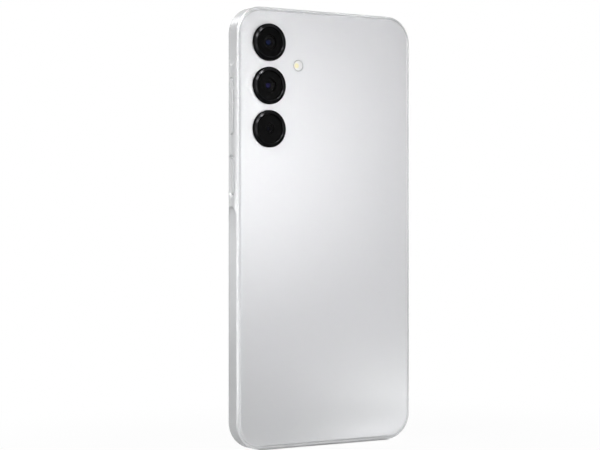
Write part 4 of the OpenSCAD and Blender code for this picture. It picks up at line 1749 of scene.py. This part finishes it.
@dataclass
class CameraColumn(Assembly):
    """Three rear cameras in gloss rings, and the flash beside them."""

    x: float = CAMERA_X
    pitch: float = CAMERA_PITCH
    ring_r: float = 6.98
    ring_top: float = 5.10
    shoulder: Pair = (0.46, 0.205)
    crest_r: float = 5.76
    rear_y: float = COVER_Y
    spigot_r: float = 6.3
    spigot_y: float = 3.05
    bore_r: float = 4.6
    glass_r: float = 5.3
    glass_y: Pair = (4.25, 4.68)
    flash: Pair = FLASH_AT
    flash_r: float = 2.1
    flash_lip: float = 0.5
    flash_lip_y: Pair = (2.9, 3.1)
    cup_r: Pair = (1.35, 2.5)
    cup_y: Pair = (2.02, 2.86)
    cup_bowl: tuple[Pair, ...] = ((2.3, 2.86), (1.95, 2.6), (1.5, 2.2), (1.35, 2.08))
    land: float = 0.78
    mouth: float = 0.46
    barrel_ease: float = 0.05
    steps: int = 4
    step_depth: float = 0.11
    step_ease: float = 0.02
    mouth_depth: float = 0.45
    dome_under: float = 0.44
    dome_edge: float = 0.43
    dome_share: float = 0.98
    dome_rise: float = 0.30
    lenses: tuple[Lens, ...] = (
        Lens("top", "chassis", CAMERA_Z[0], 2.6, 4.0,
             ((2.6, 2.9),), BLUE_COAT, ("ultrawide_lens",)),
        Lens("middle", "focus_barrel", CAMERA_Z[1], 2.6, 3.85,
             ((3.2, -0.75), (3.2, 2.9), (2.6, 3.1)), VIOLET_COAT, ("main_lens",)),
        Lens("bottom", "chassis", CAMERA_Z[2], 1.75, 4.0,
             ((1.75, 2.9),), DARK_COAT, ("macro_lens",)),
    )

    def ring(self) -> Piece:
        """Turns one ring about the origin.

        Returns:
            The ring, to be copied.
        """
        run, drop = self.shoulder
        profile = filleted([
            (self.bore_r, self.spigot_y, 0),
            (self.spigot_r, self.spigot_y, 0),
            (self.spigot_r, self.rear_y, 0),
            (self.ring_r, self.rear_y, 0),
            (self.ring_r, self.ring_top - run, 0.25),
            (self.ring_r - run, self.ring_top - drop, 0.45),
            (self.crest_r, self.ring_top, 0.12),
            (self.glass_r + 0.1, self.ring_top - 0.10, 0.04),
            (self.glass_r + 0.06, self.glass_y[1] - 0.02, 0),
            (self.glass_r + 0.05, self.glass_y[0], 0),
            (self.bore_r, self.glass_y[0], 0),
        ], 8)
        return Draft().lathe((0, 0), profile, 128, Ends.LOOPED).build("ring_shape")

    def dress_rings(self, shop: Workshop) -> None:
        """Sets the three rings in their column and fits them.

        Args:
            shop: What copies and fits them.
        """
        rings = shop.grid.fill(
            "camera_rings", self.ring(), shop.material(RING_BLACK), (1, 3),
            (self.x, 0, self.lenses[0].z), ((0, 0, 0), (0, 0, -self.pitch)),
        )
        shop.fit(rings, "chassis", "ring", RING_BLACK,
                 "camera_ring_top", "camera_ring_middle", "camera_ring_bottom")

    def dress_glass(self, shop: Workshop, lens: Lens) -> None:
        """Builds the printed glass in front of a camera and fits it.

        Args:
            shop: What fits it.
            lens: The camera.
        """
        name = f"lens_window_{lens.label}"
        r, (low, high) = self.glass_r, self.glass_y
        profile = [
            (0, low), (r - 0.04, low), (r, low + 0.04), (r, high - 0.06),
            (r - 0.02, high - 0.02), (r - 0.06, high), (r - 0.3, high), (0, high),
        ]
        glass = Draft().lathe((self.x, lens.z), profile, 128).build(name)
        finish = LensWindow(name, self.x, lens.z, lens.barrel_r + 0.02)
        shop.fit(glass, "chassis", "lens_glass", finish, f"camera_glass_{lens.label}")

    def dress_barrel(self, shop: Workshop, lens: Lens) -> None:
        """Builds a stepped barrel with its glass and fits both.

        Args:
            shop: What fits them.
            lens: The camera.
        """
        axis = (self.x, lens.z)
        r, face = lens.barrel_r, lens.face_y
        land, mouth = r * self.land, r * self.mouth
        profile: list[Pair] = [(0, lens.foot[0][1]), *lens.foot]
        ease, lift = self.barrel_ease, self.step_ease
        profile += [(r, face - ease), (r - ease, face), (land, face)]
        for i in range(1, self.steps + 1):
            rim = land - (land - mouth) * i / self.steps
            depth = face - self.step_depth * i
            profile += [(rim + 2 * lift, depth + lift), (rim, depth)]
        profile += [(mouth, face - self.mouth_depth), (0, face - self.mouth_depth)]
        barrel = Draft().lathe(axis, profile).build(f"lens_barrel_{lens.label}")
        shop.fit(barrel, lens.body, "barrel", BARREL_BLACK, *lens.nodes)
        dome = [(0, face - self.dome_under)]
        dome += [
            (mouth * self.dome_share * cos, face - self.dome_edge + self.dome_rise * sin)
            for cos, sin in quarter(10)
        ]
        element = Draft().lathe(axis, dome, 64).build(f"lens_element_{lens.label}")
        shop.fit(element, lens.body, "lens_glass", lens.coat)

    def dress_flash(self, shop: Workshop) -> None:
        """Builds the flash window and the white cup under it, and fits them.

        Args:
            shop: What fits them.
        """
        r, high = self.flash_r, self.rear_y
        lip = r + self.flash_lip
        foot, low = self.flash_lip_y
        window = Draft().lathe(self.flash, [
            (0, foot), (lip - 0.05, foot), (lip, foot + 0.05), (lip, low - 0.02),
            (lip - 0.02, low), (r, low), (r, high - 0.08), (r - 0.03, high - 0.03),
            (r - 0.1, high - 0.005), (r - 0.5, high), (0, high),
        ]).build("flash_lens")
        shop.fit(window, "chassis", "diffuser", FLASH_RESIN, "flash_window")
        (inner, outer), (low, high) = self.cup_r, self.cup_y
        wall = [(inner, low), (outer, low), (outer, high), *self.cup_bowl]
        cup = Draft().lathe(self.flash, wall, 64, Ends.LOOPED).build("flash_cup")
        shop.fit(cup, "chassis", "diffuser", WHITE_CUP)

    def dress(self, shop: Workshop) -> None:
        """Builds and fits the whole column.

        Args:
            shop: What copies, dresses and fits.
        """
        self.dress_rings(shop)
        for lens in self.lenses:
            self.dress_glass(shop, lens)
            self.dress_barrel(shop, lens)
        self.dress_flash(shop)


@dataclass
class SideKeys(Assembly):
    """The volume key that rocks and the power key that is pressed, with its sensor."""

    side_y: float = SIDE_Y
    volume_w: float = 2.5
    power_w: float = 2.3
    volume_z: float = VOLUME_Z
    volume_l: float = 20.76
    volume_face: float = 39.95
    power_z: float = POWER_Z
    power_l: float = 13.9
    power_face: float = 39.38
    flange_x: float = 35.55
    flange_t: float = 0.8
    flange_half: float = 1.95
    flange_lip: float = 1.0
    flange_r: float = 0.3
    dome_z: float = 6.5
    nub_r: float = 0.55
    nub_l: float = 0.58
    nub_ease: float = 0.1
    nub_root: float = 0.2
    key_root: float = 0.4
    rib_r: float = 0.5
    rib_ease: float = 0.05
    crown_r: float = 6.0
    volume_edge: float = 0.22
    crown_insets: tuple[float, ...] = (0.35, 0.55, 0.75, 0.95, 1.12, 1.22)
    # Inset and drop of each line of an edge.
    power_edge: tuple[Pair, ...] = (
        (0, 0.17), (0.015, 0.14), (0.05, 0.115), (0.24, 0.012), (0.29, 0),
    )
    seat_edge: tuple[Pair, ...] = ((-0.05, 0), (-0.02, 0.012), (0, 0.04))
    sensor_edge: tuple[Pair, ...] = (
        (0.03, 0.05), (0.045, 0.015), (0.08, 0), (0.25, 0.004), (0.4, 0.010),
    )
    sensor_inset: float = 0.6
    sensor_depth: float = 0.5
    sensor_drop: float = 0.02
    sensor_dish: float = 0.012

    def flange(self, z: float, length: float, nubs: Sequence[float]) -> Draft:
        """Draws the hidden plate behind a key and the nubs that press its switches.

        Args:
            z: Middle of the key.
            length: Its length.
            nubs: Where the nubs are along it, from its middle.

        Returns:
            The draft of all of them.
        """
        draft = Draft()
        half = (self.flange_half, length / 2 + self.flange_lip)
        plate = rounded_rect((self.side_y, z), half, self.flange_r, 4)
        draft.loft(Facing.RIGHT, plate, [(0, self.flange_x), (0, self.flange_x + self.flange_t)])
        for nub in nubs:
            tip = self.flange_x - self.nub_l
            draft.loft(Facing.RIGHT, disc((self.side_y, z + nub), self.nub_r, 12), [
                (-self.nub_ease, tip),
                (0, tip + self.nub_ease),
                (0, self.flange_x + self.nub_root),
            ])
        return draft

    def volume(self) -> Piece:
        """Draws the crowned volume key.

        Returns:
            The key on its flange, with no rib.
        """
        outline = stadium((self.side_y, self.volume_z), self.volume_w, self.volume_l, 24, 8)

        def crown(drop: float) -> Callable[[float, float], float]:
            """Gives the face's height, less a drop at its edge."""
            top = self.volume_face
            return lambda a, b: top - (a - self.side_y) ** 2 / (2 * self.crown_r) - drop

        edge = self.volume_edge
        rings: list[tuple[float, Height]] = [(0, self.flange_x + self.key_root), (0, crown(edge))]
        rings += [(-edge * (1 - cos), crown(edge * (1 - sin))) for cos, sin in quarter(6)[1:]]
        rings += [(-inset, crown(0)) for inset in self.crown_insets]
        key = Draft().loft(Facing.RIGHT, outline, rings).build("volume_rocker_key")
        flange = self.flange(self.volume_z, self.volume_l, (-self.dome_z, self.dome_z))
        return combine(key, flange.build("flange"), Change.JOIN)

    def rib(self) -> Piece:
        """Draws the half-round rib that the volume key rocks on.

        Returns:
            The rib, to be joined on.
        """
        low, high = self.side_y - self.flange_half, self.side_y + self.flange_half
        r, ease = self.rib_r, self.rib_ease
        return Draft().lathe((self.flange_x, self.volume_z), [
            (0, low), (r - ease, low), (r, low + ease),
            (r, high - ease), (r - ease, high), (0, high),
        ], 32).build("rib")

    def power(self) -> Piece:
        """Draws the flat power key with a seat for its sensor.

        Returns:
            The key on its flange.
        """
        outline = stadium((self.side_y, self.power_z), self.power_w, self.power_l, 24, 4)
        face, seat = self.power_face, self.sensor_inset
        rings = [(0, self.flange_x + self.key_root)]
        rings += [(-inset, face - drop) for inset, drop in self.power_edge]
        rings += [(-seat - inset, face - drop) for inset, drop in self.seat_edge]
        rings.append((-seat, face - self.sensor_depth))
        key = Draft().loft(Facing.RIGHT, outline, rings).build("power_button_key")
        flange = self.flange(self.power_z, self.power_l, (0,))
        return combine(key, flange.build("flange"), Change.JOIN)

    def sensor(self) -> Piece:
        """Draws the touch plate in the power key.

        Returns:
            The plate, a little below the key's face.
        """
        width, length = (size - 2 * self.sensor_inset for size in (self.power_w, self.power_l))
        outline = stadium((self.side_y, self.power_z), width, length, 20, 4)
        face = self.power_face - self.sensor_drop
        edge = self.sensor_edge[0][0]
        rings = [(-edge, self.power_face - self.sensor_depth)]
        rings += [(-inset, face - drop) for inset, drop in self.sensor_edge]
        rings.append((edge - width / 2, face - self.sensor_dish))
        return Draft().loft(Facing.RIGHT, outline, rings).build("touch_sensor_plate")

    def dress(self, shop: Workshop) -> None:
        """Builds the keys and fits each to its moving body.

        Args:
            shop: What copies, dresses and fits.
        """
        volume = evened(combine(self.volume(), self.rib(), Change.JOIN))
        shop.fit(volume, "volume_rocker", "key", KEY_SILVER, "volume_key")
        shop.fit(evened(self.power()), "power_button", "key", KEY_SILVER, "power_key")
        shop.fit(self.sensor(), "power_button", "sensor", SENSOR_SILVER, "fingerprint_sensor")


@dataclass
class ScreenFront(Assembly):
    """The front glass with its earpiece slit."""

    half_w: float = 37.95
    half_h: float = 81.2
    mid_z: float = MID_Z
    corner_r: float = 9.2
    face_y: float = -3.95
    rear_y: float = -3.35
    edge_run: float = 0.9
    edge_rise: float = 0.4
    rear_in: float = 0.3
    face_in: float = 0.4
    slit_w: float = 9.6
    slit_h: float = 0.5
    slit_r: float = 0.2
    slit_past: float = 0.25
    slit_cut: Pair = (3.0, 4.5)

    def build(self) -> Piece:
        """Draws the glass and cuts the slit.

        Returns:
            The glass.
        """
        outline = rounded_rect((0, self.mid_z), (self.half_w, self.half_h), self.corner_r, 24)
        rings: list[tuple[float, Height]] = [
            (-self.rear_in, -self.rear_y), (0, -self.rear_y),
        ]
        rings += [
            (-self.edge_run * (1 - cos), -self.face_y - self.edge_rise * (1 - sin))
            for cos, sin in quarter(12)
        ]
        rings.append((-self.edge_run - self.face_in, -self.face_y))
        glass = Draft().loft(Facing.FRONT, outline, rings).build("front_glass")
        half = (self.slit_w / 2, self.slit_h / 2 + self.slit_past)
        middle = self.mid_z + self.half_h - self.slit_h / 2 + self.slit_past
        slit = rounded_rect((0, middle), half, self.slit_r, 6)
        cut = Draft().loft(Facing.FRONT, slit, [(0, h) for h in self.slit_cut])
        return evened(combine(glass, cut.build("slit_cut"), Change.CUT))

    def dress(self, shop: Workshop) -> None:
        """Builds the glass and fits it."""
        shop.fit(self.build(), "chassis", "screen_glass", FRONT_GLASS, "cover_glass")


@dataclass
class PortAndGuards(Assembly):
    """The USB-C port, and the woven dust guards of the loudspeaker and the earpiece."""

    side_y: float = SIDE_Y
    port_w: float = 8.94
    port_d: float = 3.16
    port_wall: float = 0.25
    port_z: Pair = (0.3, 8.0)
    lip: Pair = (0.03, 0.1)
    tongue: Pair = (0.35, 3.35)
    tongue_r: float = 0.12
    tongue_z: Pair = (1.6, 6.6)
    tongue_tip: tuple[Pair, ...] = ((0, 0.25), (0.08, 0.06), (0.14, 0))
    base_lap: float = 0.3
    base_l: float = 1.3
    contacts: int = 12
    contact_pitch: float = 0.5
    contact_half: Pair = (0.025, 0.13)
    contact_r: float = 0.015
    contact_l: float = 1.8
    contact_tip: Pair = (0.012, 0.1)
    contact_z: float = 3.8
    wire_r: float = 0.045
    wire_pitch: float = 0.17
    lap: float = 0.05
    slit_wire: float = 0.19
    guard_x: float = SPEAKER_X
    guard_half: Pair = (8.0, 0.9)
    guard_z: float = 2.15
    slit_half: float = 4.6
    slit_y: float = -3.5
    slit_z: float = 163.15

    def tube(self) -> Piece:
        """Draws the port's steel tube with a rolled lip.

        Returns:
            The tube.
        """
        low, high = self.port_z
        wall = self.port_wall
        outline = stadium((self.side_y, 0), self.port_d, self.port_w, 20)
        ease, deep = self.lip
        return Draft().loft(Facing.DOWN, outline, [
            (0, -high), (0, -low - deep), (-ease, -low - ease), (-wall / 2, -low),
            (ease - wall, -low - ease), (-wall, -low - deep), (-wall, -high),
        ], Ends.LOOPED).build("port_tube")

    def blade(self) -> Piece:
        """Draws the port's tongue on its base.

        Returns:
            Both, as one piece.
        """
        low, high = self.tongue_z
        outline = rounded_rect((self.side_y, 0), self.tongue, self.tongue_r, 6)
        rings = [(0, -high - self.base_lap)]
        rings += [(-inset, -low - drop) for inset, drop in self.tongue_tip]
        blade = Draft().loft(Facing.DOWN, outline, rings).build("port_blade")
        depth, width = (size - 2 * self.port_wall for size in (self.port_d, self.port_w))
        inner = stadium((self.side_y, 0), depth, width, 20)
        base = Draft().loft(Facing.DOWN, inner, [(0, -high - self.base_l), (0, -high)])
        return combine(blade, base.build("base"), Change.JOIN)

    def contact(self) -> Piece:
        """Draws one contact strip about its middle.

        Returns:
            The strip, to be copied.
        """
        outline = rounded_rect((0, 0), self.contact_half, self.contact_r, 2)
        reach, (inset, tip) = self.contact_l, self.contact_tip
        rings = [(0, -reach), (0, reach - tip), (-inset, reach)]
        return Draft().loft(Facing.DOWN, outline, rings).build("contact_shape")

    def wire(self, facing: Facing, half: float) -> Piece:
        """Draws one straight wire about its middle."""
        outline = disc((0, 0), self.wire_r, 3)
        return Draft().loft(facing, outline, [(0, -half), (0, half)]).build("wire_shape")

    def guards(self, shop: Workshop) -> Piece:
        """Weaves the guards from two sets of wires each.

        Args:
            shop: What copies the wires.

        Returns:
            Both guards, as one piece.
        """
        pitch, y, z = self.wire_pitch, self.side_y, self.guard_z
        half_x, half_y = self.guard_half
        slit, slit_y, slit_z = self.slit_half, self.slit_y, self.slit_z
        sets = (
            ("warp", Facing.RIGHT, half_x, 2 * half_y / pitch,
             (self.guard_x, y - half_y + pitch / 2, z), (0, pitch, 0)),
            ("weft", Facing.REAR, half_y, 2 * half_x / pitch,
             (self.guard_x - half_x + pitch / 2, y, z + self.lap), (pitch, 0, 0)),
            ("slit_warp", Facing.RIGHT, slit, 2,
             (0, slit_y, slit_z - pitch / 2), (0, 0, pitch)),
            ("slit_weft", Facing.UP, self.slit_wire, 2 * slit / pitch,
             (-slit + pitch / 2, slit_y + self.lap, slit_z), (pitch, 0, 0)),
        )
        return joined("dust_weave", [
            shop.grid.fill(name, self.wire(facing, half), shop.material(MESH_BLACK),
                           (int(count), 1), start, (step, (0.0, 0.0, 0.0)))
            for name, facing, half, count, start, step in sets
        ])

    def dress(self, shop: Workshop) -> None:
        """Builds the port and the guards and fits them.

        Args:
            shop: What copies, dresses and fits.
        """
        shop.fit(self.tube(), "chassis", "steel", STEEL, "usb_tube")
        shop.fit(self.blade(), "chassis", "black_plastic", BLACK_PLASTIC, "usb_tongue")
        row = self.tongue[0] + self.contact_half[0]
        start_x = -(self.contacts - 1) / 2 * self.contact_pitch
        strips = shop.grid.fill(
            "port_contacts", self.contact(), shop.material(GOLD), (self.contacts, 2),
            (start_x, self.side_y - row, self.contact_z),
            ((self.contact_pitch, 0, 0), (0, 2 * row, 0)),
        )
        shop.fit(strips, "chassis", "contacts", GOLD, "usb_contacts")
        shop.fit(self.guards(shop), "chassis", "mesh", MESH_BLACK, "dust_meshes")


@dataclass
class InnerParts(Assembly):
    """Pieces under the covers that are drawn finer than their solids."""

    head_r: float = 1.25
    head_y: Pair = (2.45, 2.88)
    shank_r: float = 0.6
    shank_y: float = -1.9
    recess_r: float = 0.75
    recess_half: float = 0.15
    recess_depth: float = 0.2
    head_edge: tuple[Pair, ...] = ((0, 0.12), (0.05, 0.04), (0.14, 0))
    shank_ease: float = 0.1
    tray_ease: float = 0.06
    places: tuple[Pair, ...] = (
        (-33.4, 121.2), (-33.4, 147.6), (-6.6, 147.6), (16.4, 150.6), (16.4, 117), (-6, 116.6),
        (-31.4, 18.6), (-18, 18.2), (-18, 5.6), (5.8, 18.4), (5.8, 11), (31.2, 17), (31.2, 8.4),
    )
    seed: int = 7

    def screw(self) -> Piece:
        """Draws one cross-recessed screw on the thickness axis.

        Returns:
            The screw, to be copied.
        """
        low, high = self.head_y
        foot, shank, ease = self.shank_y, self.shank_r, self.shank_ease
        profile = [(0, foot), (shank - ease, foot), (shank, foot + ease), (shank, low)]
        profile.append((self.head_r, low))
        profile += [(self.head_r - inset, high - drop) for inset, drop in self.head_edge]
        profile.append((0, high))
        screw = Draft().lathe((0, 0), profile, 32).build("screw_shape")
        half, reach = self.recess_half, self.recess_r
        arm = [(half, half), (half, reach), (-half, reach)]
        outline: Outline = []
        for _ in range(4):
            outline += [Station(a, b, 0, 0) for a, b in arm]
            arm = [(-b, a) for a, b in arm]
        deep = self.recess_depth
        cross = Draft().loft(Facing.REAR, outline, [(0, high - deep), (0, high + deep)])
        return combine(screw, cross.build("cross"), Change.CUT)

    def dress(self, shop: Workshop) -> None:
        """Builds the screws and the tray and fits them.

        Args:
            shop: What copies, dresses and fits.
        """
        screws = shop.scatter.run("cover_screws", [(x, 0, z) for x, z in self.places], {
            "Shape": self.screw(), "Finish": shop.material(STEEL), "Seed": self.seed,
        })
        shop.fit(screws, "chassis", "steel", STEEL, "bracket_screws")
        tray = eased_copy("sim_tray", "card_tray", self.tray_ease)
        shop.fit(tray, "tray_slider", "tray", TRAY_SILVER, "sim_tray")


def stand(
    name: str, data: Union[bpy.types.Light, bpy.types.Camera], place: Point, heading: Vector
) -> Piece:
    """Stands a lamp or a camera in the studio.

    Args:
        name: Its name.
        data: The lamp or the camera.
        place: Where it stands, in millimetres.
        heading: Which way it looks.

    Returns:
        The object.
    """
    thing = bpy.data.objects.new(name, data)
    thing.location = Vector(place) * MM
    thing.rotation_euler = heading.to_track_quat("-Z", "Y").to_euler()
    bpy.context.scene.collection.objects.link(thing)
    return thing


@dataclass(frozen=True)
class Lamp:
    """A soft lamp: where it stands, what it points at, its size and its power."""

    name: str
    place: Point
    aim: Point
    size: Pair
    power: float
    spread: float = 180.0

    def build(self) -> None:
        """Sets the lamp up, out of the camera's sight."""
        data = bpy.data.lights.new(self.name, "AREA")
        data.shape = "RECTANGLE"
        data.size, data.size_y = (s * MM for s in self.size)
        data.energy = self.power
        data.spread = math.radians(self.spread)
        heading = Vector(self.aim) - Vector(self.place)
        stand(self.name, data, self.place, heading).visible_camera = False


@dataclass
class Studio:
    """Floor, background, lamps and camera."""

    eye: Point = (339.41, 531.15, 83.32)
    heading: Point = (-0.52769, -0.84943, 0.0)
    lens: float = 98.99
    sensor: float = 36.0
    ambient: float = 0.08
    front_shade: float = 0.7
    shade_x: Pair = (0.45, 0.05)
    shade_y: Pair = (0.0, -0.35)
    shade_z: Pair = (0.4, 0.1)
    clip: float = 10.0
    floor_half: float = 3000.0
    floor_round: float = 0.2
    floor_z: float = -0.2
    lamps: tuple[Lamp, ...] = (
        Lamp("key_box", (-154, 372, 126), (25, 4, 118), (120, 120), 0.166),
        Lamp("ring_spark", (-300.5, 1311.5, 788.5), (25, 5, 127), (64, 64), 0.0062, 8),
        Lamp("ring_glint", (-41, 1432, 580), (25, 5, 127), (240, 240), 0.020, 8),
        Lamp("top_strip", (-230, 300, 400), (0, 4, 160), (160, 60), 0.003, 60),
        Lamp("edge_top", (-220, -40, 480), (-5, 3, 164), (240, 60), 0.005, 60),
        Lamp("side_fill", (420, 60, 50), (39, 0, 30), (160, 100), 0.048, 60),
        Lamp("side_top", (300, 50, 380), (39, 0, 50), (120, 120), 0.038, 40),
        Lamp("side_strip", (235, -348, 56), (38, 0, 62), (40, 90), 0.0112),
        Lamp("corner_box", (152, -330, 385), (36, 0, 158), (180, 130), 0.130),
        Lamp("edge_strip", (290, 165, 165), (38, 3, 140), (40, 120), 0.0018, 60),
        Lamp("rim_high", (26, 420, 190), (38, 3, 130), (40, 100), 0.024),
        Lamp("rim_middle", (26, 420, 97), (38, 3, 75), (40, 110), 0.063),
        Lamp("rim_low", (34, 110, 22), (38, 3, 22), (14, 40), 0.0056),
        Lamp("right_strip", (-434, 215, 85), (-38, 3, 82), (40, 220), 0.048),
        Lamp("floor_card_far", (-110, 100, 0.4), (-110, 100, 10), (90, 150), 0.080),
        Lamp("floor_card_near", (-40, 28, 0.4), (-40, 28, 10), (50, 36), 0.0042),
        Lamp("floor_card_foot", (-22, 20, 0.4), (-22, 20, 10), (60, 24), 0.0010),
        Lamp("far_fill", (-490, -40, 200), (0, 0, 80), (220, 220), 0.30),
    )

    def set_floor(self, shop: Workshop) -> None:
        """Lays the floor just under the phone.

        Args:
            shop: Where its finish comes from.
        """
        half = self.floor_half
        outline = rounded_rect((0, 0), (half, half), half * self.floor_round, 12)
        points = [(s.a, s.b, self.floor_z) for s in outline]
        floor = Draft(points, [tuple(range(len(outline)))]).build("studio_floor")
        if floor.data.polygons[0].normal.z < 0:
            floor.data.flip_normals()
        shop.paint(floor, FloorWhite("floor_white"))

    def set_world(self) -> None:
        """Makes the background white to the eye, and soft as a light.

        Reflections show it white too, but for a shade low in front of the screen, at -x and -y.
        The axes give the ray's heading in thousandths, so each step is a turn near 0.
        """
        world = bpy.data.worlds.new("studio_world")
        bpy.context.scene.world = world
        tree = ShaderTree(world)
        direct, mirrored = tree.sight()
        x, y, z = tree.axes()
        shade = x.step(*self.shade_x) * y.step(*self.shade_y) * z.step(*self.shade_z)
        seen = direct.most(mirrored * (1 - shade * self.front_shade))
        soft, white = (
            tree.add("ShaderNodeBackground", {}, {"Color": (1, 1, 1), "Strength": strength})
            for strength in (self.ambient, 1.0)
        )
        tree.finish(tree.mix_shader(seen, soft, white), "ShaderNodeOutputWorld")

    def set_camera(self) -> None:
        """Sets the camera at the photograph's viewing angle."""
        data = bpy.data.cameras.new("photo_camera")
        data.lens = self.lens
        data.sensor_width = self.sensor
        data.sensor_fit = "HORIZONTAL"
        data.clip_start = self.clip * MM
        camera = stand("photo_camera", data, self.eye, Vector(self.heading))
        bpy.context.scene.camera = camera

    def build(self, shop: Workshop) -> None:
        """Sets up the whole studio.

        Args:
            shop: Where the floor's finish comes from.
        """
        self.set_floor(shop)
        self.set_world()
        self.set_camera()
        for lamp in self.lamps:
            lamp.build()
        bpy.context.scene.view_settings.view_transform = "Standard"


def main() -> None:
    """Builds the studio and every sub-assembly in order, and dresses the nodes that are left."""
    logging.basicConfig(level=logging.INFO, format="%(name)s: %(message)s")
    shop = Workshop()
    Studio().build(shop)
    assemblies = (
        SideFrame, RearCover, CameraColumn, SideKeys, ScreenFront, PortAndGuards, InnerParts,
    )
    for assembly in assemblies:
        assembly().dress(shop)
    shop.dress_nodes()


if __name__ == "__main__":
    main()
